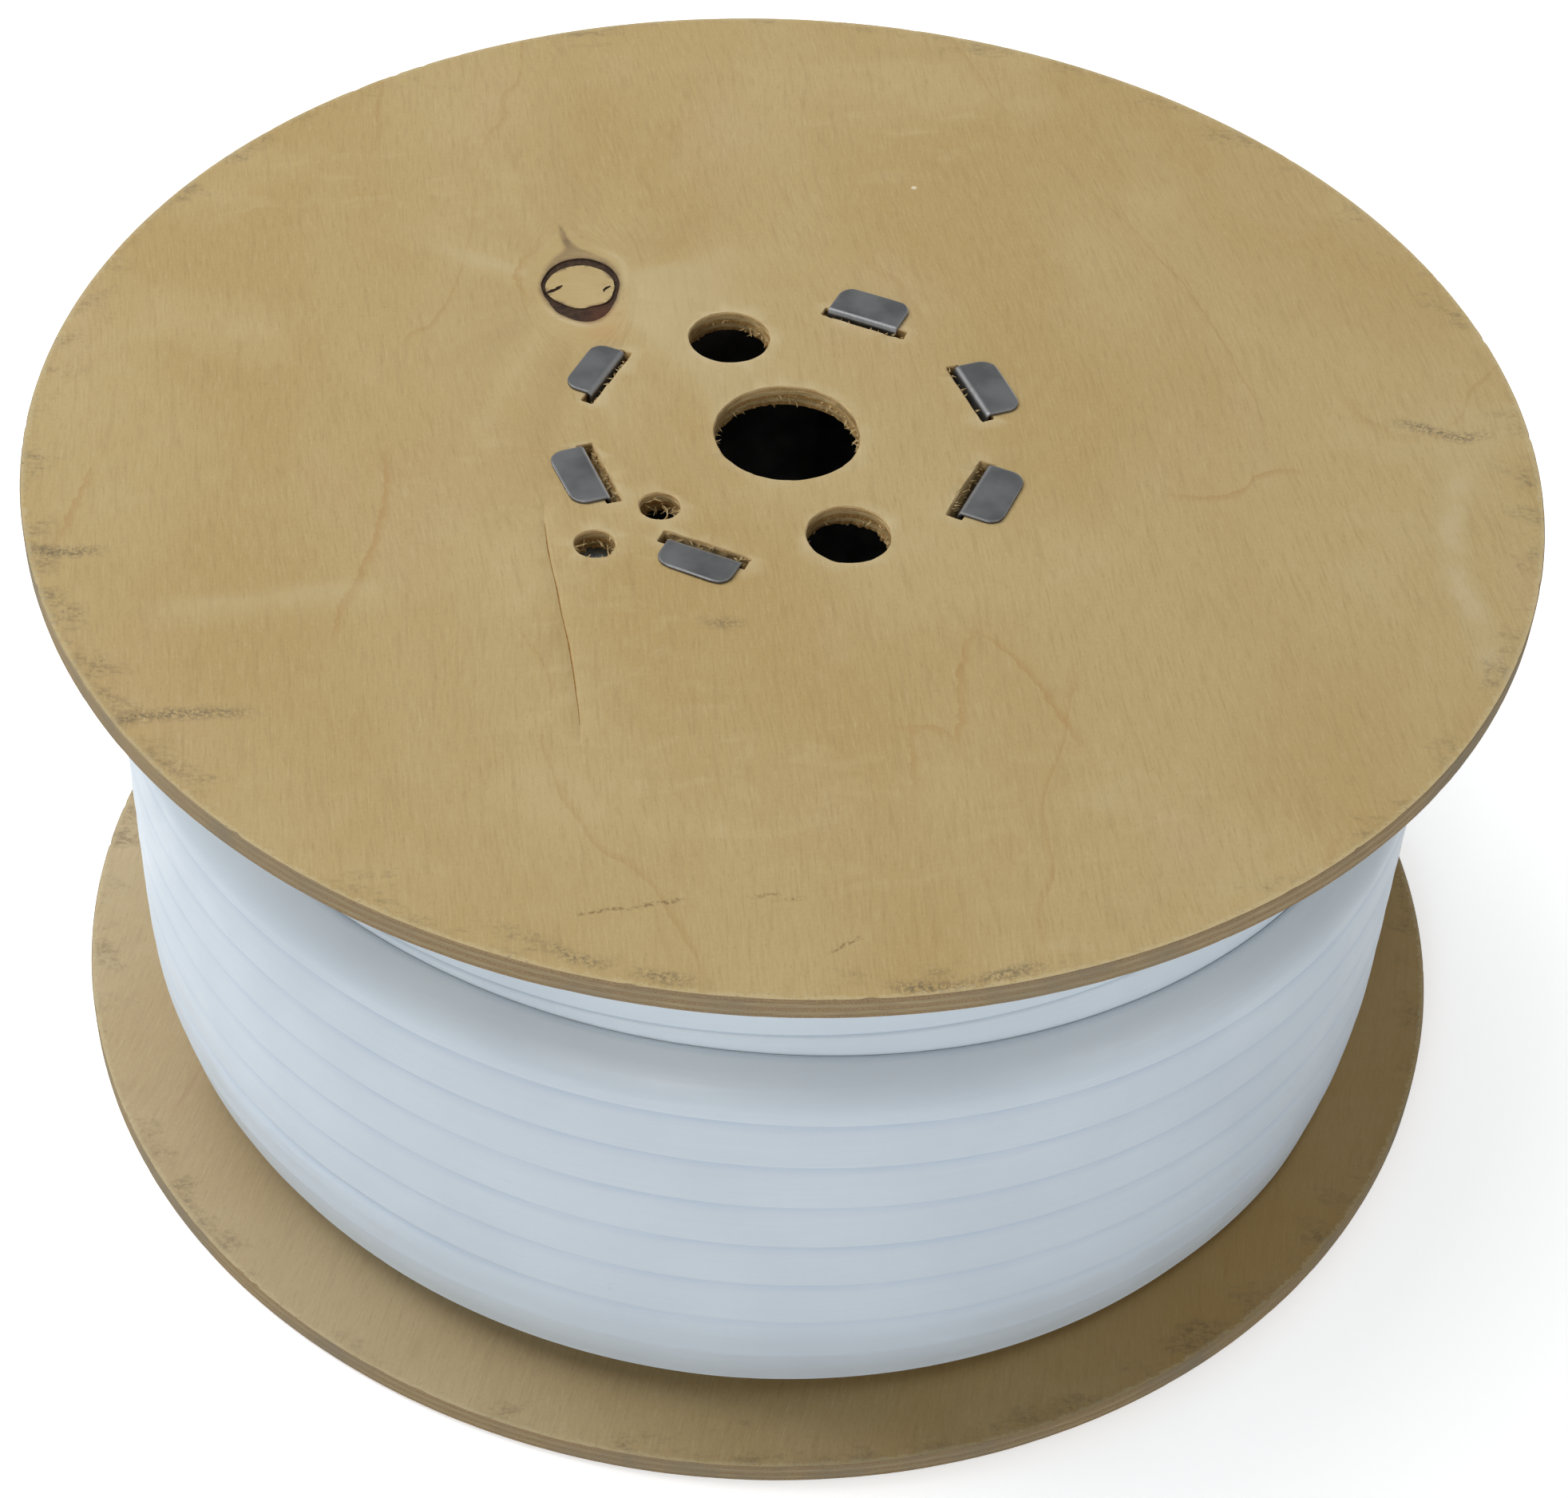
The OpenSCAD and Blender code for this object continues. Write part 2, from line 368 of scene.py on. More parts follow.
def tone(colour):
    """A colour written as the eye sees it, 0 to 255, as the linear values that shaders use."""
    linear = []
    for v in colour:
        v /= 255
        linear.append(v / 12.92 if v <= 0.04045 else ((v + 0.055) / 1.055) ** 2.4)
    return (*linear, 1.0)


LIGHT_BIRCH = (195, 174, 128)
BIRCH = (187, 164, 115)
DEEP_BIRCH = (181, 155, 103)
PINK_BIRCH = (189, 162, 120)
ORANGE_BIRCH = (168, 131, 78)


def birch_face(name, grain, shift, knot=None, dust_and_painted_sides=0.0):
    """Rotary cut birch veneer. grain is the direction of its fibres, knot is the middle of its knot, and
    dust_and_painted_sides is how much grey film and painted light lie on its left side; where it is set,
    painted shade also makes the right side browner."""
    m = Shader(name, Roughness=0.62, Specular_IOR_Level=0.25)
    place = m.place()
    u, v, around = grain_field(m, place, grain, shift, knot)

    def veneer(across, along, detail=2.0, rough=0.5, bend=0.0, z=0.0):
        """Noise drawn out along the fibres. across and along are its swells to the metre."""
        return m.noise(m.join(m.mul(u, across), m.mul(v, along), z), 1.0, detail, rough, bend)

    add_figure(m, place, veneer, 0.6 if dust_and_painted_sides else 0.32)
    fibre = add_fibres(m, place, veneer)
    if dust_and_painted_sides:
        # grey dust and painted light on the left side, where the light falls, and painted shade that makes
        # the wood browner on the right
        x, y, z = m.split(m.in_photo(place))
        m.tint(m.step(x, -0.14, 0.1, dust_and_painted_sides, 0), (186, 178, 176))
        m.tint(m.step(x, -0.02, 0.14, 0, 0.45), (156, 116, 54))
    if knot:
        add_knot_sheen_and_tints(m, around, fibre)
        add_own_marks(m, place)
    add_rim_dirt(m, place, shift)
    return m.done(fibre, 0.2, 0.2)


def grain_field(m, place, grain, shift, knot):
    """Places across and along the fibres, in metres, and where the knot lies from there."""
    turn = math.pi / 2 - grain
    u, v, w = m.split(m.scaled(place, (1, 1, 1), turn=turn))
    drift = m.noise(m.scaled(place, (1, 1, 1), shift=(shift[1], shift[0], 0)), 5.0, 1, 0.4)
    around = None
    if knot:
        knot_u, knot_v = turned(*knot, turn)
        du = m.sub(u, knot_u)
        dv = m.sub(v, knot_v)
        short = m.mul(dv, 0.55)
        square = m.add(m.mul(du, du), m.mul(short, short))
        pull = m.div(KNOT_FLOW ** 2, m.most(square, KNOT_FLOW ** 2))
        u = m.sub(u, m.mul(du, pull))
        around = (du, dv, m.math("SQRT", m.add(square, 1e-6)))
    u = m.add(m.add(u, m.mul(drift, GRAIN_DRIFT)), shift[0])
    return u, m.add(v, shift[1]), around


def add_figure(m, place, veneer, rings):
    """The broad figure of the veneer. rings is how strongly its growth rings show."""
    m.start(veneer(14, 6), 0.35, 0.62, DEEP_BIRCH, BIRCH)
    m.tint(m.step(m.noise(place, 17, 3, 0.55), 0.48, 0.75, 0, 0.6), LIGHT_BIRCH)
    m.tint(m.step(veneer(30, 12, z=4.0), 0.55, 0.72, 0, 0.4), PINK_BIRCH)
    # growth rings: thin wandering lines, sharp on one side, far apart because the veneer was peeled
    field = m.add(veneer(5.0, 2.6, 2, 0.4, 0.6, 7.0), m.mul(veneer(46, 26, z=1.0), 0.045))
    ring = m.math("FRACT", m.mul(field, 7.0))
    line = m.mul(m.step(ring, 0.0, 0.012), m.step(ring, 0.014, 0.06, 1, 0))
    faint = m.step(veneer(14, 8, z=3.0), 0.48, 0.62)
    m.tint(m.mul(m.mul(line, faint), rings), ORANGE_BIRCH)
    # ripples across the fibres
    ripple = m.step(veneer(60, 130, bend=0.5, z=2.0), 0.5, 0.75, 0, 0.45)
    where = m.step(m.noise(place, 9, 1, 0.5), 0.5, 0.62)
    m.tint(m.mul(ripple, where), LIGHT_BIRCH)


def add_fibres(m, place, veneer):
    """Fibres, pores and flecks. It returns the fibres' noise, which the relief needs too."""
    fibre = veneer(1500, 120, 3, 0.68)
    coarse = veneer(460, 40, 3, 0.6, z=5.0)
    pore = veneer(3200, 420, 1, z=9.0)
    fleck = m.noise(place, 1100, 2, 0.6)
    m.tint(m.step(fibre, 0.25, 0.5, 0.32, 0), (148, 122, 77))
    m.tint(m.step(fibre, 0.52, 0.78, 0, 0.38), (206, 190, 150))
    m.tint(m.step(coarse, 0.3, 0.5, 0.2, 0), (154, 127, 82))
    m.tint(m.step(pore, 0.62, 0.78, 0, 0.28), (134, 106, 66))
    m.tint(m.step(fleck, 0.3, 0.5, 0.07, 0), (146, 119, 76))
    m.tint(m.step(fleck, 0.5, 0.7, 0, 0.07), (208, 192, 152))
    return fibre


def add_knot_sheen_and_tints(m, around, fibre):
    """A painted sheen of fibres that dip and rise round the knot, in rays that fade out, the knot's stains,
    and a painted highlight on the pale lips of the knot and the holes.
    """
    du, dv, away = around
    # painted sheen: lighter and darker rays round the knot, where the fibres dip and rise
    way = (m.mul(m.div(du, away), 1.6), m.mul(m.div(dv, away), 1.2))
    rays = m.noise(m.join(*way, m.mul(away, 9.0)), 1.0, 3, 0.55)
    near = m.mul(m.step(away, 0.02, 0.075, 1, 0), m.step(away, 0.013, 0.018))
    m.tint(m.mul(m.step(rays, 0.48, 0.7, 0, 0.42), near), (203, 186, 146))
    m.tint(m.mul(m.step(rays, 0.3, 0.5, 0.36, 0), near), (166, 138, 94))
    streak = m.add(m.attribute("stain"), m.step(fibre, 0.3, 0.7, -0.1, 0.1))
    m.tint(m.step(streak, 0.05, 0.9, 0, 0.95), (112, 90, 66))
    m.tint(m.mul(m.attribute("blush"), 0.45), (190, 146, 92))
    # painted highlight on the pale lips outside the knot's ring and round the holes
    m.tint(m.mul(m.attribute("lip_highlight"), 0.5), (212, 196, 158))


def add_own_marks(m, place):
    """Marks found only on the top face: growth lines, smudges, nicks and scuffs."""
    x, y, z = m.split(m.in_photo(place))
    wobble = m.sub(m.noise(place, 260, 2, 0.6), 0.5)
    near_x = m.add(x, m.mul(wobble, 4 * MM))
    near_y = m.add(y, m.mul(wobble, 3 * MM))
    rough = m.noise(place, 900, 3, 0.7)
    lines_up = m.trails(y, near_x, LINES_UP, 0.5, 3.2, 8)
    lines_across = m.trails(x, near_y, LINES_ACROSS, 3.2, 0.6, 8)
    m.tint(m.mul(m.most(lines_up, lines_across), 0.42), (170, 131, 78))
    smudges = m.trails(x, near_y, SMUDGES, 3.8, 3.4, 6)
    m.tint(m.mul(smudges, m.step(rough, 0.38, 0.62, 0, 0.75)), (98, 88, 70))
    nicks = m.trails(x, near_y, NICKS, 1.0, 0.9, 1.5)
    m.tint(m.mul(nicks, m.step(rough, 0.44, 0.56, 0, 0.6)), (98, 72, 40))
    scuff = m.step(m.noise(place, 60, 3, 0.6), 0.3, 0.65, 0.25, 1.0)
    haze = m.trail(y, near_x, SCUFF_UP, 6, 7, 14)
    m.tint(m.mul(m.mul(haze, scuff), 0.45), (206, 194, 160))
    sheen = m.trail(x, near_y, SCUFF_ACROSS, 12, 7, 20)
    m.tint(m.mul(m.mul(sheen, scuff), 0.3), (204, 190, 150))
    spot = m.length(m.sub(x, SPECK_AT[0] * MM), m.sub(y, SPECK_AT[1] * MM))
    m.tint(m.step(spot, 0.5 * MM, 1.1 * MM, 0.8, 0), (236, 224, 196))


def add_rim_dirt(m, place, shift):
    """Small smudges and flecks, most of them towards the rim, and the rim's worn corner."""
    x, y, z = m.split(place)
    radius = m.length(x, y)
    moved = m.scaled(m.in_photo(place), (0.75, 1.15, 1), shift=(*shift, 0))
    patch = m.noise(moved, 58, 4, 0.65, 0.5)
    speck = m.noise(moved, 620, 4, 0.75)
    rim = m.step(radius, FLANGE_R - 22 * MM, FLANGE_R - 0.5 * MM)
    dirt = m.add(m.mul(rim, 0.245), m.sub(patch, 0.715))
    dirt = m.mul(m.mul(dirt, 5.0, clamp=True), m.step(speck, 0.42, 0.62, 0.1, 1.0))
    m.tint(m.mul(dirt, 0.62), (96, 86, 66))
    worn = m.add(radius, m.mul(m.sub(speck, 0.5), 6 * MM))
    m.tint(m.step(worn, FLANGE_R - 1.8 * MM, FLANGE_R - 0.8 * MM, 0, 0.45), (204, 188, 148))
    corner = m.step(radius, FLANGE_R - 3.5 * MM, FLANGE_R - 1.5 * MM, 0, 0.6)
    m.tint(m.mul(m.step(speck, 0.62, 0.72), corner), (88, 74, 52))


def birch_edge(name, grain, low):
    """The sawn edge of five plies, from the height low up, on the rim and in the holes."""
    m = Shader(name, Roughness=0.8, Specular_IOR_Level=0.15)
    place = m.place()
    x, y, z = m.split(place)
    jitter = m.noise(m.scaled(place, (300, 300, 300)), 1, 2, 0.5)
    level = m.add(m.div(m.sub(z, low), PLY / 5), m.mul(m.sub(jitter, 0.5), 0.16))
    within = m.math("FRACT", level)
    odd = m.math("MODULO", m.add(m.math("FLOOR", level), 10), 2)
    # every other ply shows the ends of its fibres where the first shows their sides
    nx, ny, nz = m.split(m.node("ShaderNodeNewGeometry", out="True Normal"))
    toward = m.math("ABSOLUTE", m.add(m.mul(nx, math.cos(grain)), m.mul(ny, math.sin(grain))))
    end = m.node("ShaderNodeMix", {0: odd, 2: toward, 3: m.sub(1.0, toward)})
    streak = m.noise(m.scaled(place, (170, 170, 2600)), 1, 3, 0.6)
    speck = m.noise(m.scaled(place, (2200, 2200, 2600)), 1, 2, 0.6)
    m.start(speck, 0.35, 0.65, (148, 111, 62), (190, 154, 97))
    end_wood = m.colour
    m.start(streak, 0.3, 0.7, (172, 146, 98), (204, 180, 132))
    m.colour = m.mix(m.step(end, 0.2, 0.85), m.colour, end_wood)
    glue = m.most(m.step(within, 0.0, 0.1, 1, 0), m.step(within, 0.92, 1.0))
    m.tint(m.mul(glue, 0.4), (88, 69, 43))
    # the torn outer ply of the holes is paler, and the rim is worn grey
    radius = m.length(x, y)
    torn = m.mul(m.step(level, 3.6, 4.6), m.step(streak, 0.35, 0.6, 0.2, 0.7))
    m.tint(m.mul(torn, m.step(radius, 0.19, 0.2, 1, 0)), (208, 184, 138))
    wear = m.step(m.noise(place, 24, 4, 0.6), 0.4, 0.66, 0.55, 0.85)
    m.tint(m.mul(wear, m.step(radius, 0.19, 0.2)), (134, 125, 107))
    return m.done(m.add(streak, m.mul(speck, 0.5)), 0.5, 0.3)


def crack_wood():
    """The brown wood inside the crack."""
    m = Shader("crack_wood", Roughness=0.85, Specular_IOR_Level=0.1)
    m.start(m.noise(m.place(), 900, 3, 0.6), 0.3, 0.7, (140, 103, 55), (164, 127, 76))
    return m.done()


def knot_wood():
    """The dark bark ring round the knot."""
    m = Shader("knot_bark", Roughness=0.75, Specular_IOR_Level=0.2)
    place = m.place()
    rough = m.noise(place, 600, 4, 0.65, 0.6)
    patch = m.noise(place, 110, 2, 0.5)
    m.start(rough, 0.35, 0.65, (36, 25, 16), (66, 48, 32))
    red = m.mul(m.attribute("blush"), m.step(patch, 0.35, 0.6, 0.4, 1.0))
    m.tint(m.mul(red, 0.8), (96, 54, 38))
    return m.done(rough, 0.6, 0.4)


def torn_wood():
    """Pale splinters and torn fibres."""
    m = Shader("torn_birch", Roughness=0.8, Specular_IOR_Level=0.15)
    rough = m.noise(m.scaled(m.place(), (900, 900, 900)), 1, 3, 0.6)
    m.start(rough, 0.3, 0.7, (160, 132, 86), (206, 184, 138))
    return m.done()


def sheath(name):
    """Pale satin cable sheath, a little speckled grey, with painted shade along the upper edge of every
    turn.
    """
    m = Shader(name, Specular_IOR_Level=0.4)
    place = m.place()
    drawn = m.noise(m.scaled(place, (26, 26, 900)), 1, 2, 0.5)
    m.start(m.noise(place, 14, 3, 0.5), 0.3, 0.7, (203, 215, 226), (210, 222, 232))
    m.tint(m.step(drawn, 0.35, 0.7, 0, 0.15), (196, 209, 221))
    m.tint(m.step(m.noise(place, 120, 4, 0.7), 0.66, 0.76, 0, 0.2), (188, 197, 205))
    # painted shade on the upper edge of every turn, in the crease under the turn above
    uneven = m.step(m.noise(m.scaled(place, (40, 40, 400)), 1, 2, 0.5), 0.3, 0.7, 0.6, 1.0)
    m.tint(m.mul(m.attribute("groove_shade"), m.mul(uneven, 0.5)), (166, 188, 214))
    return m.done(drawn, 0.12, 0.3, rough=m.step(m.noise(place, 45, 3, 0.6), 0.3, 0.7, 0.36, 0.5))


def steel(name):
    """Dull grey sheet, smooth but for small dark marks, with a painted highlight on its bends and edges."""
    m = Shader(name, Metallic=0.6)
    place = m.place()
    mottle = m.noise(place, 90, 3, 0.5)
    scratch = m.noise(m.scaled(place, (2600, 600, 400), turn=0.5), 1, 3, 0.6)
    m.start(mottle, 0.3, 0.7, (70, 71, 72), (90, 91, 92))
    m.tint(m.step(scratch, 0.6, 0.78, 0, 0.3), (122, 123, 124))
    m.tint(m.step(m.noise(place, 520, 3, 0.6), 0.68, 0.76, 0, 0.7), (52, 52, 54))
    # painted highlight along the bends and edges
    m.tint(m.mul(m.attribute("edge_highlight"), m.step(scratch, 0.25, 0.6, 0.5, 0.9)), (132, 132, 133))
    return m.done(m.add(mottle, m.mul(scratch, 0.2)), 0.1, 0.2, rough=m.step(mottle, 0.3, 0.7, 0.32, 0.44))


# Forms that several pieces need

def ragged(count, reach, rng):
    """Smooth random values round a closed loop, about -1 to 1. reach is the width of a swell, in points."""
    raw = rng.standard_normal(count)
    span = np.arange(count)
    span = np.minimum(span, count - span)
    kernel = np.exp(-0.5 * (span / max(reach, 0.01)) ** 2)
    value = np.real(np.fft.ifft(np.fft.fft(raw) * np.fft.fft(kernel)))
    return value / (np.abs(value).max() + 1e-12)


def arc(cx, cy, radius, start, sweep, steps):
    return [(cx + radius * math.cos(math.radians(start + sweep * i / steps)),
             cy + radius * math.sin(math.radians(start + sweep * i / steps))) for i in range(steps + 1)]


def add_band(faces, first, second, count, outward=True):
    """Adds the faces between two rings of count points, which start at the points first and second."""
    for j in range(count):
        k = (j + 1) % count
        quad = (first + j, first + k, second + k, second + j)
        faces.append(quad if outward else quad[::-1])


def add_skin(faces, rings, count, closed):
    """Adds the faces of a long tube of rings of count points. A closed one runs back into its first ring."""
    for i in range(rings if closed else rings - 1):
        here, there = i * count, (i + 1) % rings * count
        for j in range(count):
            k = (j + 1) % count
            faces.append((here + j, there + j, there + k, here + k))


def build_mesh(name, verts, faces, materials, smooth_angle=35.0, indices=None, attributes=None):
    mesh = bpy.data.meshes.new(name)
    mesh.from_pydata([tuple(map(float, v)) for v in verts], [], [tuple(map(int, f)) for f in faces])
    for mat in materials:
        mesh.materials.append(mat)
    if indices is not None:
        mesh.polygons.foreach_set("material_index", np.asarray(indices, np.int32))
    mesh.polygons.foreach_set("use_smooth", np.ones(len(mesh.polygons), bool))
    mesh.update()
    mesh.set_sharp_from_angle(angle=math.radians(smooth_angle))
    for key, values in (attributes or {}).items():
        layer = mesh.attributes.new(key, "FLOAT", "POINT")
        layer.data.foreach_set("value", np.asarray(values, np.float32))
    mesh.validate()
    return add_to_scene(name, mesh)


# The flanges

def circle_loop(cx, cy, radius, count):
    a = np.arange(count) / count * TAU
    normal = np.stack([np.cos(a), np.sin(a)], 1)
    return np.array([cx, cy]) + radius * normal, normal


def slot_loop(turn, closed, step):
    """The outline of a tab's slot, with its normals pointing away from the middle of the slot."""
    inner = SLOT_IN + closed
    half = (SLOT_OUT - inner) / 2
    corners = [(half, -SLOT_HALF), (half, SLOT_HALF), (-half, SLOT_HALF), (-half, -SLOT_HALF)]
    sides = [(1, 0), (0, 1), (-1, 0), (0, -1)]
    points, normals = [], []
    for i in range(4):
        a, b = np.array(corners[i]), np.array(corners[(i + 1) % 4])
        n = max(2, int(round(np.linalg.norm(b - a) / step)))
        for k in range(n):
            normal = np.array(sides[i], float)
            if k == 0:
                normal = normal + np.array(sides[i - 1])
            points.append(a + (b - a) * (k / n))
            normals.append(normal / np.linalg.norm(normal))
    points, normals = np.array(points), np.array(normals)
    points[:, 0] += (inner + SLOT_OUT) / 2
    return all_turned(points, turn), all_turned(normals, turn)


def inside(points, loop):
    """Which of the points lie inside the closed loop."""
    x, y = points[:, 0][:, None], points[:, 1][:, None]
    x0, y0 = loop[:, 0][None], loop[:, 1][None]
    x1, y1 = np.roll(loop[:, 0], -1)[None], np.roll(loop[:, 1], -1)[None]
    cross = (y0 > y) != (y1 > y)
    with np.errstate(divide="ignore", invalid="ignore"):
        at = x0 + (y - y0) * (x1 - x0) / (y1 - y0)
    return (np.sum(cross & (x < at), axis=1) % 2) == 1


def knot_loop(radii, count):
    turns = np.radians(np.array(KNOT_TURNS, float))
    a = np.arange(count) / count * TAU
    wrap_t = np.concatenate([turns - TAU, turns, turns + TAU])
    wrap_r = np.tile(np.array(radii), 3)
    near = np.linspace(-0.35, 0.35, 9) * 0.5
    r = np.mean([np.interp(a + d, wrap_t, wrap_r) for d in near], axis=0) * MM
    return all_turned(np.stack([r * np.cos(a), r * np.sin(a)], 1), PHOTO_TURN) + np.array(KNOT_AT)


def across_line(line):
    """Unit vectors across a line of points."""
    way = np.gradient(line, axis=0)
    cross = np.stack([-way[:, 1], way[:, 0]], 1)
    return cross / np.linalg.norm(cross, axis=1)[:, None]


class Sheet:
    """Gathers the points, edges and holes of one face of a flange, and triangulates them."""

    def __init__(self):
        self.points = []
        self.heights = []
        self.edges = []
        self.holes = []

    def add(self, points, height=0.0, closed=True, link=True):
        first = len(self.points)
        heights = np.broadcast_to(np.asarray(height, float), (len(points),))
        self.points.extend(map(tuple, points))
        self.heights.extend(heights)
        n = len(points)
        if link:
            for i in range(n if closed else n - 1):
                self.edges.append((first + i, first + (i + 1) % n))
        return list(range(first, first + n))

    def solid(self, points):
        """Which of the points lie on wood."""
        on = np.ones(len(points), bool)
        for kind, loop in self.holes:
            hit = inside(points, loop)
            on &= hit if kind == "rim" else ~hit
        return on

    def fill(self, loose, gap):
        """Adds those loose points that lie on wood, at least gap away from the points so far."""
        placed = np.array(self.points)
        clear = self.solid(loose)
        for start in range(0, len(loose), 400):
            part = loose[start:start + 400]
            near = np.sqrt(((part[:, None] - placed[None]) ** 2).sum(-1)).min(1)
            clear[start:start + 400] &= near > gap
        self.add(loose[clear], link=False)

    def triangles(self):
        verts = [Vector(p) for p in self.points]
        out = delaunay_2d_cdt(verts, self.edges, [], 0, 1e-7)
        co = np.array([tuple(p) for p in out[0]])
        heights = np.array([self.heights[o[0]] if o else 0.0 for o in out[3]])
        back = {k: i for i, o in enumerate(out[3]) for k in o}
        tri = np.array([t for t in out[2]], int)
        return co, heights, tri[self.solid(co[tri].mean(axis=1))], back


PLY_LEVELS = np.array([0.0, 0.05, 0.19, 0.21, 0.39, 0.41, 0.59, 0.61, 0.79, 0.81, 0.95, 1.0]) * PLY
PLY_OF_LEVEL = (0, 0, 0, 1, 1, 2, 2, 3, 3, 4, 4, 4)
RIM_POINTS = 1440
SLOT_STEP = 0.45 * MM


def wall_offsets(count, rng, step, tear, top_tear, bottom_tear, fringe=0.0):
    """How far each point of each level of a sawn wall stands back. step is the points' spacing, fringe is
    how far torn fibres of the lowest ply reach into the hole, and all but step is in mm."""
    out = np.zeros((len(PLY_LEVELS), count))
    plies = []
    for ply in range(5):
        swell = ragged(count, 6 * MM / step, rng)
        fine = ragged(count, 0.9 * MM / step, rng)
        plies.append(tear * MM * (0.55 + 0.35 * swell + 0.35 * fine * (1.0 if ply % 2 else 0.6)))
    for i, ply in enumerate(PLY_OF_LEVEL):
        out[i] = plies[ply]
    top = top_tear * MM * np.maximum(0, ragged(count, 1.1 * MM / step, rng)) ** 1.5
    low = bottom_tear * MM * np.maximum(0, ragged(count, 1.1 * MM / step, rng)) ** 1.5
    out[-1] += BEVEL * 0.5 + top
    out[-2] += top * 0.4
    out[0] += BEVEL * 0.5 + low
    out[1] += low * 0.5
    out = np.maximum(out, 0.0)
    torn = 0.5 * ragged(count, 2.2 * MM / step, rng) + 0.6 * ragged(count, 0.5 * MM / step, rng)
    for level, part in ((0, 0.9), (1, 1.0), (2, 0.8), (3, 0.25)):
        out[level] -= fringe * MM * np.clip(torn, 0, 1) * part
    return out


def rim_chips(rng):
    """How deep small chips of the upper ply's corner go, round the rim."""
    chips = np.zeros(RIM_POINTS)
    for _ in range(16):
        at = rng.integers(RIM_POINTS)
        width = rng.uniform(0.9, 2.6)
        deep = rng.uniform(0.15, 0.5) * MM
        span = (np.arange(RIM_POINTS) - at + RIM_POINTS // 2) % RIM_POINTS - RIM_POINTS // 2
        chips = np.maximum(chips, deep * np.clip(1 - (np.abs(span) / width) ** 2, 0, 1))
    return chips


def slot_slope(points, normals, turn, is_top, rng):
    """How far the punch tore the inner side of a slot into a slope, wide at the outer face."""
    inner_side = np.clip(-(normals @ np.array([math.cos(turn), math.sin(turn)])) * 1.4 - 0.4, 0, 1)
    climb = PLY_LEVELS / PLY if is_top else 1 - PLY_LEVELS / PLY
    swell = 0.85 + 0.3 * ragged(len(points), 3, rng)
    return inner_side[None] * (climb * 1.3 - 0.9)[:, None] * SLOPE * swell[None]


def flange_loops(is_top, rng):
    """The rim and every hole, each as its kind and its outlines at the levels of the wall."""
    found = []
    points, normals = circle_loop(0, 0, FLANGE_R - 0.02 * MM, RIM_POINTS)
    back = wall_offsets(RIM_POINTS, rng, TAU * FLANGE_R / RIM_POINTS, 0.12, 0.25, 0.25)
    chips = rim_chips(rng)
    back[-1] += chips
    back[-2] += chips * 0.75
    found.append(("rim", points, -normals, back))
    for cx, cy, radius, count, tear, top_tear, low_tear, fringe in ROUND_HOLES:
        points, normals = circle_loop(cx if is_top else -cx, cy, radius, count)
        back = wall_offsets(count, rng, TAU * radius / count, tear, top_tear, low_tear, fringe)
        found.append(("hole", points, normals, back))
    for turn, reach, before, after, closed in (TOP_TABS if is_top else BOTTOM_TABS):
        turn = math.radians(turn)
        points, normals = slot_loop(turn, closed * MM, SLOT_STEP)
        back = wall_offsets(len(points), rng, SLOT_STEP, 0.3, 0.6, 0.6)
        back += slot_slope(points, normals, turn, is_top, rng)
        found.append(("hole", points, normals, back))
    return [(kind, [points + normals * b[:, None] for b in back]) for kind, points, normals, back in found]


def add_knot(top, rng):
    """The groove of the knot's bark ring, and the notches in its plug."""
    n = 96
    middle = np.array(KNOT_AT)
    wide, plug = knot_loop(KNOT_RING, n), knot_loop(KNOT_PLUG, n)
    out = (wide - middle) / np.linalg.norm(wide - middle, axis=1)[:, None]
    wide = wide + out * (ragged(n, 1.2, rng) * 0.22 * MM)[:, None]
    plug = plug + out * (ragged(n, 1.2, rng) * 0.18 * MM)[:, None]
    wide_low = wide - out * 0.22 * MM
    plug_low = plug + out * 0.18 * MM
    width = np.linalg.norm(wide - plug, axis=1)
    depth = -KNOT_DEPTH * np.clip(1.15 - width / (9 * MM), 0.5, 1.0)
    top.add(wide)
    top.add(wide_low, depth * (1 + 0.2 * ragged(n, 1.5, rng)))
    top.add(plug_low, depth)
    top.add(plug)
    for t in (0.3, 0.6):
        top.add(wide_low * (1 - t) + plug_low * t, depth * (1 + 0.35 * ragged(n, 2, rng)), link=False)
    for points in KNOT_NOTCHES:
        notch = np.array([turned(x * MM, y * MM) for x, y, half in points]) + middle
        half = np.array([half for x, y, half in points])[:, None] * MM
        cross = across_line(notch)
        top.add(notch + cross * half, closed=False)
        top.add(notch - cross * half, closed=False)
        top.add(notch[1:-1], -KNOT_DEPTH, closed=False)


def add_crack(top, rng):
    path = np.array([turned(x * MM, y * MM) for x, y in CRACK])
    reach = np.concatenate([[0], np.cumsum(np.linalg.norm(np.diff(path, axis=0), axis=1))])
    at = np.linspace(0, reach[-1], CRACK_POINTS)
    line = np.stack([np.interp(at, reach, path[:, 0]), np.interp(at, reach, path[:, 1])], 1)
    cross = across_line(line)
    line = line + cross * (ragged(CRACK_POINTS, 3, rng) * 0.18 * MM)[:, None]
    wide = np.clip(np.minimum(at / (18 * MM), (reach[-1] - at) / (22 * MM)), 0, 1) ** 0.7
    wide = wide * (0.75 + 0.25 * ragged(CRACK_POINTS, 3, rng))
    half = (CRACK_WIDTH / 2 * wide)[:, None]
    top.add((line + cross * half)[1:-1], closed=False)
    top.add((line - cross * half)[1:-1], closed=False)
    top.add(line, -CRACK_DEPTH * wide, closed=False)


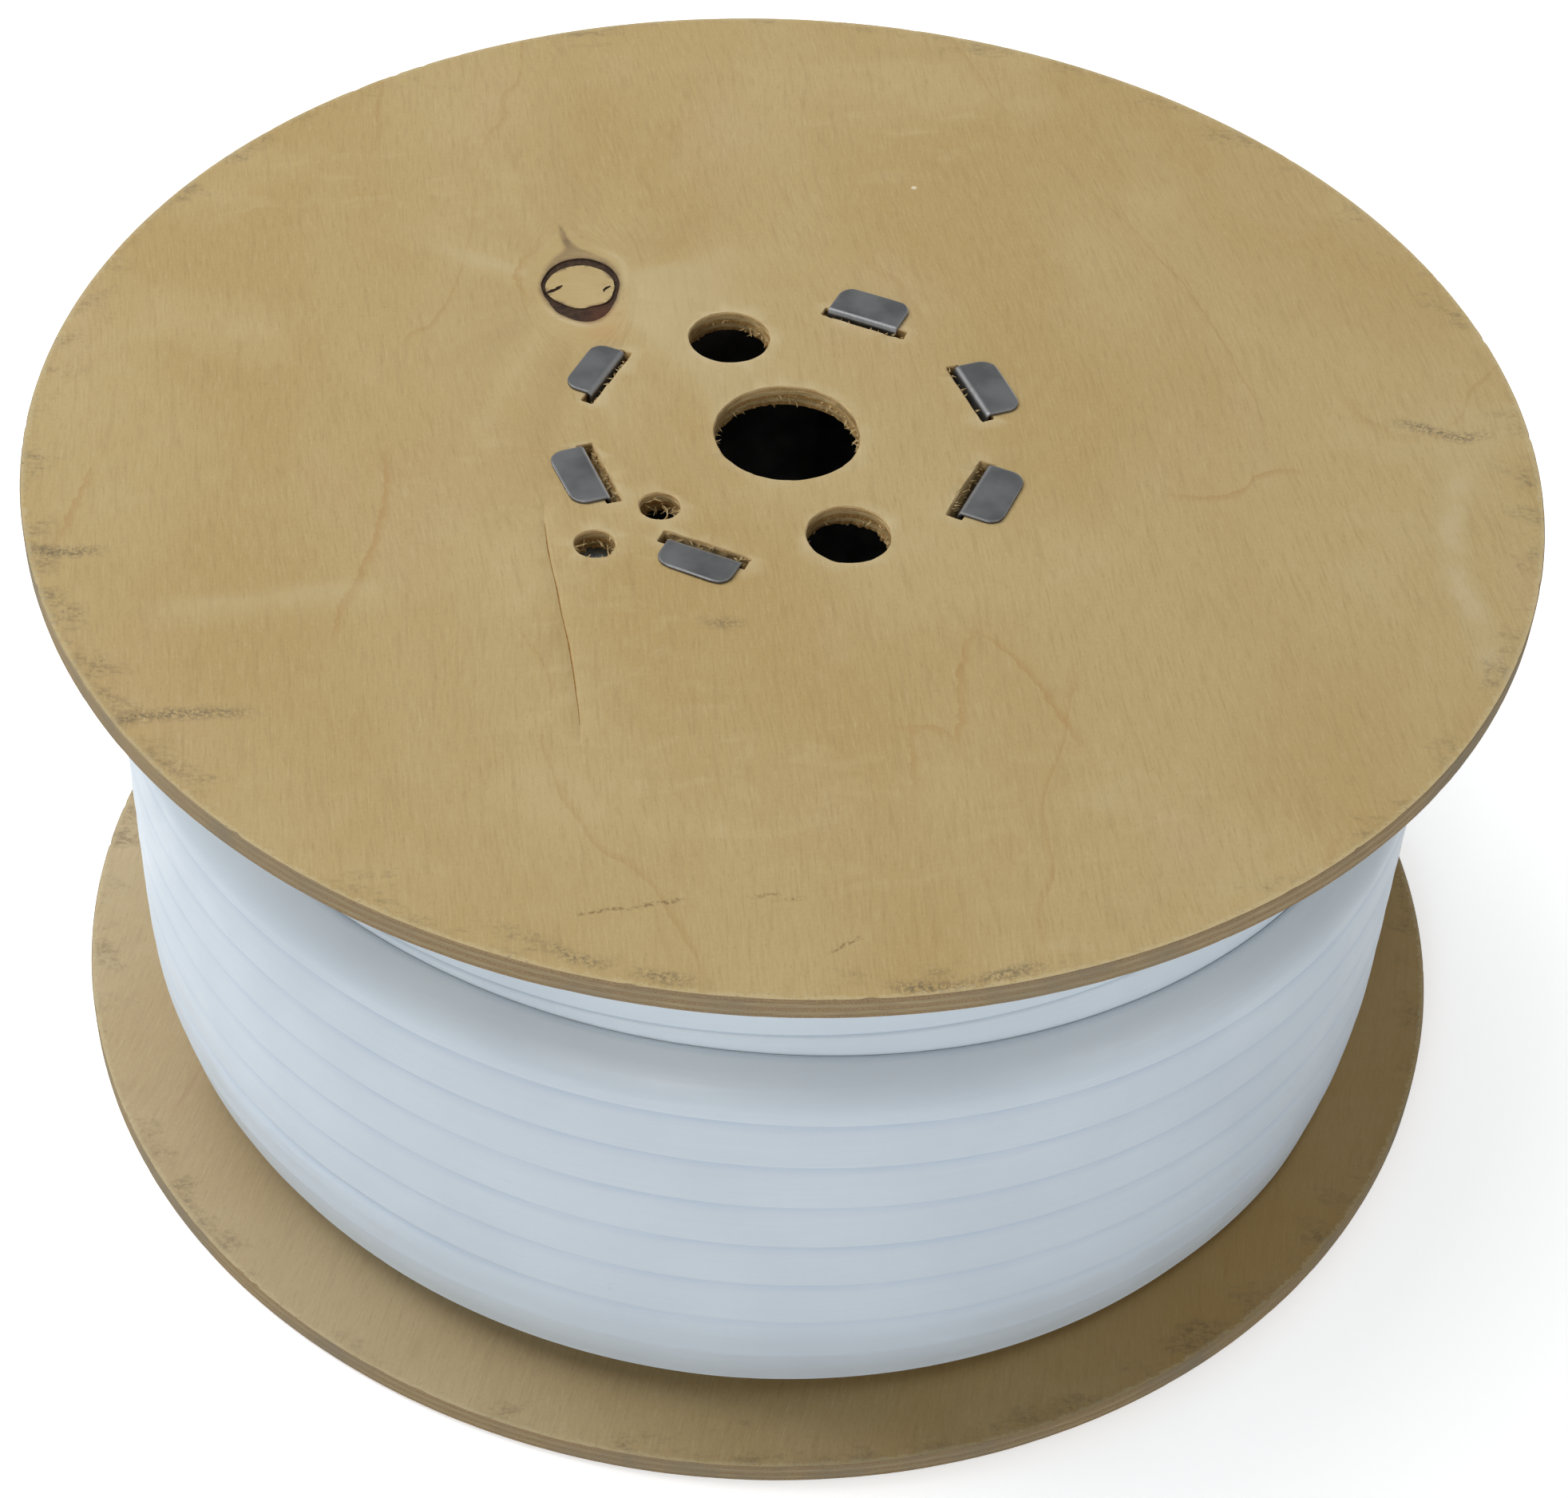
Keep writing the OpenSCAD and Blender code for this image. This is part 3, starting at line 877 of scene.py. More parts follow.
def loose_points(rng):
    """Points scattered all over a face, in rows that are set off like bricks."""
    pitch = 6.2 * MM
    lean = 0.866
    grid = []
    for j in range(int(2 * FLANGE_R / (pitch * lean)) + 2):
        for i in range(int(2 * FLANGE_R / pitch) + 2):
            grid.append((-FLANGE_R + (i + 0.5 * (j % 2)) * pitch, -FLANGE_R + j * pitch * lean))
    grid = np.array(grid) + rng.uniform(-0.8, 0.8, (len(grid), 2)) * MM
    return grid[np.hypot(grid[:, 0], grid[:, 1]) < FLANGE_R - 4 * MM]


def denser_at_knot(grid):
    """The loose points with a close grid round the knot in place of those that lie there."""
    step = 1.1 * MM
    dense = [(KNOT_AT[0] + i * step, KNOT_AT[1] + j * step) for i in range(-26, 27) for j in range(-26, 44)]
    far = np.abs(grid[:, 0] - KNOT_AT[0]) > 29 * MM
    far |= np.abs(grid[:, 1] - KNOT_AT[1] - 10 * MM) > 40 * MM
    return np.concatenate([grid[far], np.array(dense)])


def knot_stain(x, y):
    """How brown and warm the wood is round the knot, and where a painted highlight lies on the pale lip
    outside its ring. x and y are mm from its middle, in the photograph's directions."""
    turn = np.degrees(np.arctan2(y, x)) % 360
    turns = np.array(KNOT_TURNS + (360,), float)
    out = np.hypot(x, y) - np.interp(turn, turns, np.array(KNOT_RING + KNOT_RING[:1]))
    off_plug = np.hypot(x, y) >= np.interp(turn, turns, np.array(KNOT_PLUG + KNOT_PLUG[:1]))
    halo = np.exp(-np.clip(out, 0, None) / 0.9) * 0.7
    # the flame of stained wood above the ring, greyish in its body and darkest in its spike
    high, left, right = np.array(KNOT_FLAME, float).T
    from_left = x - np.interp(y, high, left)
    from_right = np.interp(y, high, right) - x
    flame = np.clip(np.minimum(from_left, from_right) / 1.8 + 0.45, 0, 1) * (y > high[0]) * (y < high[-1])
    flame *= 0.46 + 0.2 * np.clip((y - 17) / 5, 0, 1) + 0.16 * np.exp(-np.clip(from_left, 0, None) / 2.0)
    stain = np.maximum(halo, flame) * off_plug
    warm = np.exp(-(((x - 9) / 6) ** 2 + ((y + 19) / 6) ** 2)) * 0.9
    warm = np.maximum(warm, np.exp(-(((x - 8) / 5) ** 2 + ((y + 11) / 5) ** 2)) * 0.7)
    # painted highlight on the pale lip outside the ring, at its upper right and at its foot
    over = np.interp(turn, (0, 15, 40, 65, 85, 215, 240, 275, 300, 360),
                     (0, 0.3, 0.9, 0.8, 0, 0, 0.8, 1, 0.2, 0))
    at = np.interp(turn, (0, 30, 60, 90, 120, 360), (1.4, 2.4, 5.0, 6.0, 2.0, 1.4))
    lip_highlight = np.exp(-((out - at) / 0.9) ** 2) * over
    return np.clip(stain, 0, 1), np.clip(warm, 0, 1) * off_plug, np.clip(lip_highlight, 0, 1)


# Where a flange's materials stand in its list
FACE, EDGE, BARK, CRACKED = range(4)


def add_cap(sheet, level, upwards, verts, faces, index):
    """Adds a face of the flange, and says which point each point of its sheet became."""
    co, heights, tri, back = sheet.triangles()
    base = len(verts)
    for p, h in zip(co, heights):
        verts.append((p[0], p[1], level + h))
    tri = tri if upwards else tri[:, ::-1]
    area = np.cross(co[tri[:, 1]] - co[tri[:, 0]], co[tri[:, 2]] - co[tri[:, 0]])
    wrong = (area < 0) if upwards else (area > 0)
    tri[wrong] = tri[wrong][:, ::-1]
    mid = co[tri].mean(axis=1)
    deep = heights[tri].min(axis=1) < -0.05 * MM
    in_crack = np.hypot(mid[:, 0] - KNOT_AT[0], mid[:, 1] - KNOT_AT[1]) > 24 * MM
    faces.extend((tri + base).tolist())
    index.extend(np.where(deep, np.where(in_crack, CRACKED, BARK), FACE).tolist())
    return {k: i + base for k, i in back.items()}


def add_sawn_wall(kind, rings, bottom, top, low, verts, faces, index):
    """Adds the wall of the rim or of a hole. bottom and top are its points in the two faces."""
    rows = [bottom]
    for z, ring in zip(PLY_LEVELS[1:-1], rings[1:-1]):
        rows.append(list(range(len(verts), len(verts) + len(ring))))
        verts.extend([(p[0], p[1], low + z) for p in ring])
    rows.append(top)
    for lower, upper in zip(rows, rows[1:]):
        for i in range(len(bottom)):
            j = (i + 1) % len(bottom)
            quad = (lower[i], lower[j], upper[j], upper[i])
            faces.append(quad if kind == "rim" else quad[::-1])
            index.append(EDGE)


def plywood(name, low, is_top, grain, shift, seed, dust_and_painted_sides=0.0):
    """One flange: a round of five plies with its holes, slots and sawn walls. The knot, the crack and the
    marks are on the top one only."""
    rng = np.random.default_rng(seed)
    under, over = Sheet(), Sheet()
    walls = []
    for kind, rings in flange_loops(is_top, rng):
        walls.append((kind, rings, under.add(rings[0]), over.add(rings[-1])))
        under.holes.append((kind, rings[0]))
        over.holes.append((kind, rings[-1]))
    if is_top:
        add_knot(over, rng)
        add_crack(over, rng)
    grid = loose_points(rng)
    under.fill(grid, 1.6 * MM)
    if is_top:
        over.fill(denser_at_knot(grid), 0.8 * MM)
    else:
        over.fill(grid, 1.6 * MM)

    verts, faces, index = [], [], []
    at_bottom = add_cap(under, low, False, verts, faces, index)
    at_top = add_cap(over, low + PLY, True, verts, faces, index)
    for kind, rings, bottom, top in walls:
        bottom, top = [at_bottom[k] for k in bottom], [at_top[k] for k in top]
        add_sawn_wall(kind, rings, bottom, top, low, verts, faces, index)

    mats = [birch_face(name + "_face", grain, shift, KNOT_AT if is_top else None, dust_and_painted_sides),
            birch_edge(name + "_edge", grain, low)]
    attributes = None
    if is_top:
        mats += [knot_wood(), crack_wood()]
        verts = np.array(verts)
        x, y = turned((verts[:, 0] - KNOT_AT[0]) / MM, (verts[:, 1] - KNOT_AT[1]) / MM, -PHOTO_TURN)
        stain, blush, lip_highlight = knot_stain(x, y)
        # painted highlight on the torn lips of the holes too
        for kind, rings, bottom, top in walls:
            if kind == "hole":
                lip_highlight[[at_top[k] for k in top]] = np.clip(0.55 + 0.6 * ragged(len(top), 4, rng), 0, 1)
        near_top = verts[:, 2] > low + PLY - 3 * MM
        attributes = {"stain": stain * near_top, "blush": blush * near_top, "lip_highlight": lip_highlight * near_top}
    return build_mesh(name, verts, faces, mats, 35, index, attributes)


# The barrel

def add_wall(verts, faces):
    """The rolled tube with its flats and its lap, standing between the flanges."""
    count = 240
    half_flat = math.asin(FLAT_HALF / BARREL_OUT_R)
    outer, inner = [], []
    for i in range(count):
        a = TAU * i / count
        out_r, in_r = BARREL_OUT_R, BARREL_OUT_R - SHEET
        for tab in TOP_TABS:
            off = (a - math.radians(tab[0]) + math.pi) % TAU - math.pi
            if abs(off) < half_flat:
                out_r = min(out_r, (FLAT_IN + SHEET) / math.cos(off))
                in_r = min(in_r, FLAT_IN / math.cos(off))
        if abs((a - LAP_TURN + math.pi) % TAU - math.pi) * BARREL_OUT_R < LAP_HALF:
            in_r = min(in_r, BARREL_OUT_R - 2 * SHEET)
        outer.append(on_circle(out_r, a))
        inner.append(on_circle(in_r, a))
    first = len(verts)
    for loop, z in ((outer, INNER_Z), (outer, UNDER_TOP_Z), (inner, UNDER_TOP_Z), (inner, INNER_Z)):
        verts.extend([(x, y, z) for x, y in loop])
    for ring in range(4):
        add_band(faces, first + ring * count, first + (ring + 1) % 4 * count, count)


def tab_path(reach):
    """The middle line of a tab: radius, height over the flange's inner face, and which way it faces."""
    bend_z = PLY - BEND_R
    middle = BEND_R + SHEET / 2
    path = [(LEAF_IN - middle, z, math.pi) for z in np.linspace(-0.4 * MM, bend_z - 0.5 * MM, 4)]
    for i in range(9):
        a = math.pi - i / 8 * math.pi / 2
        path.append((LEAF_IN + middle * math.cos(a), bend_z + middle * math.sin(a), a))
    last = reach - 0.01 * MM
    for t in np.concatenate([np.linspace(0.1, 0.5, 3), np.linspace(0.56, 1.0, 12)]):
        path.append((LEAF_IN + (last - LEAF_IN) * t, PLY + SHEET / 2, math.pi / 2))
    return path


TAB_EDGE = 0.32 * MM


def tab_ring(low, high, left):
    """The section of a tab from low to high, with rounded edges. left is how far its end still is."""
    corner = min(max(0.0, LEAF_CORNER - left), LEAF_CORNER)
    trim = LEAF_CORNER - math.sqrt(LEAF_CORNER ** 2 - corner ** 2)
    thin = max(0.0, TAB_EDGE - left)
    kept = math.sqrt(max(0.0, TAB_EDGE ** 2 - thin ** 2))
    half = SHEET / 2 - TAB_EDGE + kept
    low, high = low + trim + TAB_EDGE - kept, high - trim - TAB_EDGE + kept
    edge = min(TAB_EDGE, half)
    ring = [(low + (high - low) * t, half) for t in np.linspace(0.04, 0.96, 8)]
    ring += arc(high - edge, half - edge, edge, 90, -90, 3)
    ring += arc(high - edge, edge - half, edge, 0, -90, 3)
    ring += [(high + (low - high) * t, -half) for t in (0.2, 0.5, 0.8)]
    ring += arc(low + edge, edge - half, edge, -90, -90, 3)
    ring += arc(low + edge, half - edge, edge, 180, -90, 3)
    return low, high, ring


def add_tab(verts, faces, edge_highlight, tab, base, up, rng):
    """One tab, swept from its neck over its bend to its rounded end. up is 1 on the top flange, -1 below."""
    turn, reach, before, after, closed = tab
    turn = math.radians(turn)
    reach, before, after = reach * MM, before * MM, after * MM
    dip = rng.uniform(0.0, 0.25) * MM
    skew = rng.uniform(-0.25, 0.25) * MM
    first = len(verts)
    count = 0
    for r, z, facing in tab_path(reach):
        left = reach - r
        low, high, ring = tab_ring(-before, after, left)
        count = len(ring)
        out = (r - LEAF_IN) / (reach - LEAF_IN) if facing == math.pi / 2 else 0.0
        on_bend = max(0.0, math.sin(2 * facing - math.pi)) if facing > math.pi / 2 else 0.0
        for side, n in ring:
            radius = r + n * math.cos(facing) + skew * out * side / before
            height = z + n * math.sin(facing) - dip * max(0.0, out) ** 2 * (side / after) ** 2
            verts.append((*turned(radius, side, turn), base + up * height))
            # painted highlight along the bend and the rounded edges
            at_edge = 1.0 - min(1.0, min(side - low, high - side, left + 0.1 * MM) / (0.55 * MM))
            edge_highlight.append(max(on_bend * 0.7, at_edge * 0.6) if n > 0 else 0.0)
    last = len(verts) - count
    for start in range(first, last, count):
        add_band(faces, start, start + count, count, up > 0)
    faces.append(tuple(range(first, first + count))[::-1 if up > 0 else 1])
    faces.append(tuple(range(last, last + count))[::1 if up > 0 else -1])


def sheet_barrel(name):
    rng = np.random.default_rng(5)
    verts, faces = [], []
    add_wall(verts, faces)
    edge_highlight = [0.0] * len(verts)
    for tab in TOP_TABS:
        add_tab(verts, faces, edge_highlight, tab, UNDER_TOP_Z, 1, rng)
    for tab in BOTTOM_TABS:
        add_tab(verts, faces, edge_highlight, tab, INNER_Z, -1, rng)
    return build_mesh(name, verts, faces, [steel(name + "_steel")], 40, attributes={"edge_highlight": edge_highlight})


# Torn fibres

def add_sliver(verts, faces, at, way, length, width, curl, rng):
    """A thin pointed splinter that leaves a wall at a point, in the direction way, and curls up or down."""
    at, way = np.array(at), np.array(way, float)
    side = np.cross(way, (0, 0, 1))
    side /= np.linalg.norm(side) + 1e-9
    first = len(verts)
    steps = 5
    bend = rng.uniform(-0.35, 0.35)
    for i in range(steps + 1):
        t = i / steps
        middle = at + way * length * t + side * bend * length * t * t
        middle[2] += curl * length * t * t
        if i == steps:
            verts.append(tuple(middle))
            break
        half = width / 2 * (1 - t) ** 0.7
        for s, h in ((-1, 0), (1, 0), (0.1, 0.55)):
            verts.append(tuple(middle + side * half * s + np.array((0, 0, half * h))))
    for i in range(steps - 1):
        add_band(faces, first + i * 3, first + i * 3 + 3, 3)
    last = first + (steps - 1) * 3
    for j in range(3):
        faces.append((last + j, last + (j + 1) % 3, first + steps * 3))
    faces.append((first + 2, first + 1, first))


# Which round holes are torn: their splinters, the depths these leave the wall at and their lengths, in mm
TORN_HOLES = [(*hole[:3], 34, (0.6, 6.0), (1.0, 3.6)) for hole in ROUND_HOLES[3:]]
TORN_HOLES += [(*hole[:3], 44, (2.5, 6.4), (0.7, 2.2)) for hole in ROUND_HOLES[2:0:-1]]
TORN_HOLES += [(*ROUND_HOLES[0][:3], 80, (2.5, 6.4), (0.7, 2.4))]


def torn_fibres(name):
    """Splinters left by the drill and the punch, in the round holes and beside the tabs."""
    rng = np.random.default_rng(41)
    verts, faces = [], []
    for cx, cy, radius, count, depth, length in TORN_HOLES:
        for _ in range(count):
            a = rng.uniform(0, TAU)
            z = TOP_Z - rng.uniform(*depth) * MM
            x, y = on_circle(radius + 0.3 * MM, a)
            way = a + math.pi + rng.uniform(-0.9, 0.9)
            add_sliver(verts, faces, (cx + x, cy + y, z), (*on_circle(1, way), rng.uniform(-0.4, 0.2)),
                       rng.uniform(*length) * MM, rng.uniform(0.35, 0.9) * MM, rng.uniform(-0.4, 0.5), rng)
    for turn, reach, before, after, closed in TOP_TABS:
        turn = math.radians(turn)
        inner = SLOT_IN + closed * MM
        for _ in range(30):
            side = rng.uniform(-SLOT_HALF, SLOT_HALF)
            z = TOP_Z - rng.uniform(0.1, 4.0) * MM
            way = turn + rng.uniform(-1.2, 1.2)
            direction = (*on_circle(1, way), rng.uniform(-0.2, 0.3))
            room = (FLAT_IN - inner + 0.2 * MM) / max(0.3, math.cos(way - turn))
            add_sliver(verts, faces, (*turned(inner - 0.3 * MM, side, turn), z), direction,
                       min(rng.uniform(0.6, 2.2) * MM, room), rng.uniform(0.3, 0.8) * MM,
                       rng.uniform(-0.3, 0.3), rng)
    return build_mesh(name, verts, faces, [torn_wood()])


def fibre_curl(name):
    """The broad pale strip of veneer that stands curled in the inner anchor hole."""
    x0, y0 = ROUND_HOLES[3][:2]
    verts, faces = [], []
    steps = 12
    start = math.radians(250) + PHOTO_TURN
    for i in range(steps + 1):
        t = i / steps
        r = ANCHOR_R * (1.0 - 0.85 * t)
        z = TOP_Z - (3.4 - 3.0 * t ** 1.3) * MM
        half = (1.3 - 0.9 * t) * MM
        for s, thick in ((-1, 0), (1, 0), (1, 1), (-1, 1)):
            x, y = on_circle(r - thick * 0.25 * MM, start + 2.4 * t)
            verts.append((x0 + x, y0 + y, min(z + s * half, TOP_Z)))
    for i in range(steps):
        add_band(faces, i * 4, i * 4 + 4, 4)
    faces.append((3, 2, 1, 0))
    faces.append(tuple(range(steps * 4, steps * 4 + 4)))
    return build_mesh(name, verts, faces, [torn_wood()])


# The winding

CABLE_H = 9.4 * MM
BARREL_R = 58.3 * MM
FULL_R = 171.1 * MM
OUTER_R = 189.9 * MM
WIND_Z = 7.8 * MM
TURN = 16.8 * MM
FULL_TOP = 192.2 * MM
SECOND_TOP = 170.3 * MM
PRESSED = 1.1 * MM
# Height and depth of the rounding of a pressed turn's lower edge, and of its upper edge
LOWER_EDGE = (1.0 * MM, 0.12 * MM)
UPPER_EDGE = (4.2 * MM, 0.34 * MM)
NOTCH = 0.12 * MM
# The free edge: how deep and how far down its points lie, from its crest to the face
FREE_EDGE = ((9.3, 0.0), (7.6, 1.3), (5.8, 2.8), (4.1, 4.4),
             (2.6, 6.2), (1.4, 8.1), (0.4, 10.3), (0.0, 12.6))

# The crossing zone in front, by direction in the photograph: height of the outer layer's lowest clear groove
# and of its turns, in mm
FRONT_TURNS = (-165.0, -150.0, -122.0, -89.0, -57.0, -34.0, -12.0, 0.0)
FRONT_GROOVE = (52.9, 52.7, 51.3, 46.9, 43.6, 41.5, 40.7, 40.6)
FRONT_PITCH = (16.55, 16.6, 16.66, 16.76, 16.5, 16.2, 16.1, 16.1)
ZONE_LEFT = FRONT_TURNS[0]

# How far the outermost layer's foot leans inwards, in mm, by direction in the photograph
LEAN_TURNS = (-180, -160, -139, -131, -118, -90, -45, -30, 0, 180)
LEAN = (6.0, 7.5, 9.5, 9.5, 8.2, 7.2, 6.6, 5.0, 4.5, 6.0)

# How clearly the upper edge of a turn shows, by direction in the photograph
SHOWN_TURNS = (-180, -150, -122, -55, 0, 60, 180)
SHOWN = (0.6, 0.35, 1, 1, 0.5, 0.7, 0.6)


def half_turn(degrees):
    """An angle brought to between -180 and 180."""
    return (degrees + 180) % 360 - 180


def outer_face(z, azimuth):
    """Radius of the outermost layer's face. azimuth is in degrees, as in the photograph."""
    low = np.clip((46 * MM - z) / (38 * MM), 0, 1)
    return OUTER_R - np.interp(azimuth, LEAN_TURNS, LEAN) * MM * low ** 1.8


def inner_vary(r, z, azimuth):
    """The layers under the outermost one lean in with it, more the further out they are."""
    still = 140 * MM
    edge = FULL_R + CABLE_H
    limit = outer_face(z, azimuth) - CABLE_H - 0.1 * MM
    return r if r <= still else still + (r - still) * (limit - still) / (edge - still)


def groove(radius, z):
    """The rounded corners of two pressed turns that touch at the height z, from the upper turn's foot up."""
    c = PRESSED
    return arc(radius - c, z - c, c, 0, 80, 3) + arc(radius - c, z + c, c, 280, 80, 3)


def winding_profile():
    """The closed section of all that is inside the outermost layer, anticlockwise from the bore's foot."""
    c = PRESSED
    out = []
    for layer in range(13):
        r0 = BARREL_R + layer * CABLE_H
        out += arc(r0 + c, WIND_Z + c, c, 180, 90, 3)[(1 if layer else 0):]
        out += arc(r0 + CABLE_H - c, WIND_Z + c, c, 270, 90, 3)
    turns = int((SECOND_TOP - WIND_Z) / TURN)
    for k in range(turns):
        out += groove(FULL_R + CABLE_H, SECOND_TOP - turns * TURN + k * TURN)
    # the free edge of the last layer slopes a little, with small corners
    out += arc(FULL_R + CABLE_H - 1.2 * MM, SECOND_TOP - 1.0 * MM, 1.2 * MM, 0, 80, 4)
    out += arc(FULL_R + 1.5 * MM, SECOND_TOP - 0.2 * MM, 1.3 * MM, 85, 80, 4)
    out += groove(FULL_R, FULL_TOP - TURN)
    for layer in range(11, -1, -1):
        r0 = BARREL_R + layer * CABLE_H
        out += arc(r0 + CABLE_H - c, FULL_TOP - c, c, 0, 90, 3)[(0 if layer == 11 else 1):]
        out += arc(r0 + c, FULL_TOP - c, c, 90, 90, 3)
    return out


def inner_layers(name, mat):
    """All layers but the outermost, as one turned solid."""
    count = 360
    profile = winding_profile()
    verts, faces = [], []
    for i in range(count):
        a = i / count * TAU
        azimuth = half_turn(math.degrees(math.atan2(math.sin(a), math.cos(a))) - math.degrees(PHOTO_TURN))
        for r, z in profile:
            verts.append((*on_circle(inner_vary(r, z, azimuth), a), z))
    add_skin(faces, count, len(profile), True)
    return build_mesh(name, verts, faces, [mat], 50)


def front_height(azimuth, turn):
    """Height of the groove number turn of the outermost layer, in the crossing zone in front."""
    low = np.interp(azimuth, FRONT_TURNS, FRONT_GROOVE) * MM
    return low + turn * np.interp(azimuth, FRONT_TURNS, FRONT_PITCH) * MM


def groove_height(along):
    """Height of the groove along the cable. along counts degrees, and grows as the cable winds down."""
    azimuth = half_turn(along)
    turn = -math.floor((along - ZONE_LEFT) / 360)
    if ZONE_LEFT <= azimuth <= 0:
        return front_height(azimuth, turn)
    # round the back the cable stays nearly level, from the zone's right end to its left end one turn lower
    right = front_height(0.0, turn)
    left = front_height(ZONE_LEFT, turn - 1)
    past = azimuth if azimuth >= 0 else azimuth + 360
    return right + (left - right) * past / (360 + ZONE_LEFT)


def edge_at(along, standing):
    """Height and depth of the rounding beside the groove that the cable has above it at along."""
    high, deep = standing
    if along > 195:
        # low down the turns are pressed so hard that the groove hardly shows
        return 0.6 * MM, 0.04 * MM
    more = math.exp(-((along + 126) / 22) ** 2)
    shows = np.interp(half_turn(along), SHOWN_TURNS, SHOWN)
    return high + 0.8 * MM * more, deep * shows + 0.6 * MM * more


def edge_points(high, deep, free):
    """A turn's rounded edge as (depth, distance from the edge): shallow where turns touch, and round where
    free is 1."""
    out = []
    for k, (free_deep, free_high) in enumerate(FREE_EDGE):
        u = k / (len(FREE_EDGE) - 1)
        depth = deep * (1 - u) ** 2 * (1 - free) + free_deep * MM * free
        out.append((depth, high * u * (1 - free) + free_high * MM * free))
    return out


def cable_section(along, free, swell, drift):
    """The cable's section at along, as (radius, height), with how much painted shade each point has. free is
    1 where no turn lies over it."""
    azimuth = half_turn(along)
    low = max(groove_height(along + 360), WIND_Z)
    top = max(groove_height(along), low + 8 * MM)
    r_top = float(outer_face(top, azimuth)) + drift
    r_low = float(outer_face(low, azimuth)) + drift
    upper = edge_points(*edge_at(along, UPPER_EDGE), free)
    lower = edge_points(*edge_at(along + 360, LOWER_EDGE), 0.0)
    width = top - low - 0.02 * MM

    def face(t):
        lean = r_low + (r_top - r_low) * t
        crown = 0.12 * MM * (1 - (2 * t - 1) ** 2) + swell * t * (1 - t) * 2
        cores = 0.05 * MM * math.cos(TAU * 2 * t)
        return min(lean + crown + cores, OUTER_R + 0.3 * MM)

    ts = np.linspace(lower[-1][1] / width, 1 - upper[-1][1] / width, 9)
    ring = [(face(ts[0]) - lower[0][0] - NOTCH, low)]
    ring += [(face(ts[0]) - deep, low + high) for deep, high in lower]
    ring += [(face(t), low + t * width) for t in ts[1:-1]]
    groove_shade = [0.0] * len(ring)
    # painted shade grows towards the crease at the turn's upper edge
    for k, (deep, high) in enumerate(upper[::-1]):
        ring.append((face(ts[-1]) - deep, low + width - high))
        groove_shade.append(((k + 0.5) / len(upper)) ** 1.6 * (1 - free))
    for k in range(1, 5):
        ring.append((face(ts[-1]) - upper[0][0] - (1 - free) * NOTCH * k / 4, low + width))
        groove_shade.append(1.0 - free)
    # the cable's inner side, which the layer under it hides
    c = PRESSED
    ring += [(r_top - CABLE_H + x, low + width + y) for x, y in arc(c, -c, c, 100, 80, 3)]
    ring += [(r_low - CABLE_H + x, low + y) for x, y in arc(c, c, c, 180, 80, 3)]
    return ring, groove_shade + [0.0] * 8


def outer_layer(name, mat):
    """The outermost layer: one length of flat cable, from its free end at the back to its lowest turn."""
    step = 1.5
    # the seventh groove over the lowest clear one is the free edge
    start = 100.0 - 360 * 7
    end = -150.0 + 360 * 2
    count = int((end - start) / step) + 1
    rng = np.random.default_rng(77)
    swell = ragged(count, 26, rng) * 0.16 * MM
    drift = ragged(count, 40, rng) * 0.12 * MM
    verts, faces, groove_shades = [], [], []
    n = 0
    for i in range(count):
        along = start + i * step
        free = min(1.0, max(0.0, (start + 360 + 14 - along) / 28.0))
        ring, groove_shade = cable_section(along, free, swell[i], drift[i])
        n = len(ring)
        a = math.radians(along) + PHOTO_TURN
        verts += [(*on_circle(r, a), z) for r, z in ring]
        groove_shades += groove_shade
    add_skin(faces, count, n, False)
    faces.append(tuple(range(n))[::-1])
    faces.append(tuple(range((count - 1) * n, count * n)))
    return build_mesh(name, verts, faces, [mat], 50, attributes={"groove_shade": groove_shades})


# Making the drum

GRAIN_TOP = math.radians(101.8) + PHOTO_TURN
top_flange = plywood("top_plywood", UNDER_TOP_Z, True, GRAIN_TOP, (0.31, 0.47), 11)
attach(top_flange, "root")
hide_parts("top_flange")

GRAIN_BOTTOM = math.radians(84.0) + PHOTO_TURN
bottom_flange = plywood("bottom_plywood", BOTTOM_Z, False, GRAIN_BOTTOM, (1.7, 0.9), 23, 0.2)
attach(bottom_flange, "root")
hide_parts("bottom_flange")

cable_mat = sheath("cable_sheath")
inner_winding = inner_layers("inner_winding", cable_mat)
outer_winding = outer_layer("outer_winding", cable_mat)
for piece in (inner_winding, outer_winding):
    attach(piece, "root")
    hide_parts("cable_winding")

barrel = sheet_barrel("rolled_barrel")
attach(barrel, "root")
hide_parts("barrel")

for splinters in (torn_fibres("torn_fibres"), fibre_curl("torn_strip")):
    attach(splinters, "root")
    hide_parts("top_flange")


# Floor, light and background

WHITE = (1, 1, 1, 1)
FLOOR_TONE = (0.86, 0.86, 0.86, 1)
FLOOR_GLOW = 0.6
FLOOR_HALF = 20.0
WORLD_LIGHT = 0.13

# The soft lamps: direction as in the photograph, 0 right and -90 towards the camera, and elevation, both in
# degrees, distance and side in metres, and power in watts
LAMPS = (
    ("key", 168, 42, 3.2, 1.3, 37),
    ("overhead", 150, 70, 3.2, 2.0, 51),
    ("front", -100, 12, 3.2, 1.0, 30),
    ("right", -30, 7, 3.2, 0.7, 15),
    ("back", 60, 10, 3.2, 0.9, 13),
)
LAMPS_AIM = Vector((0, 0, 0.1))


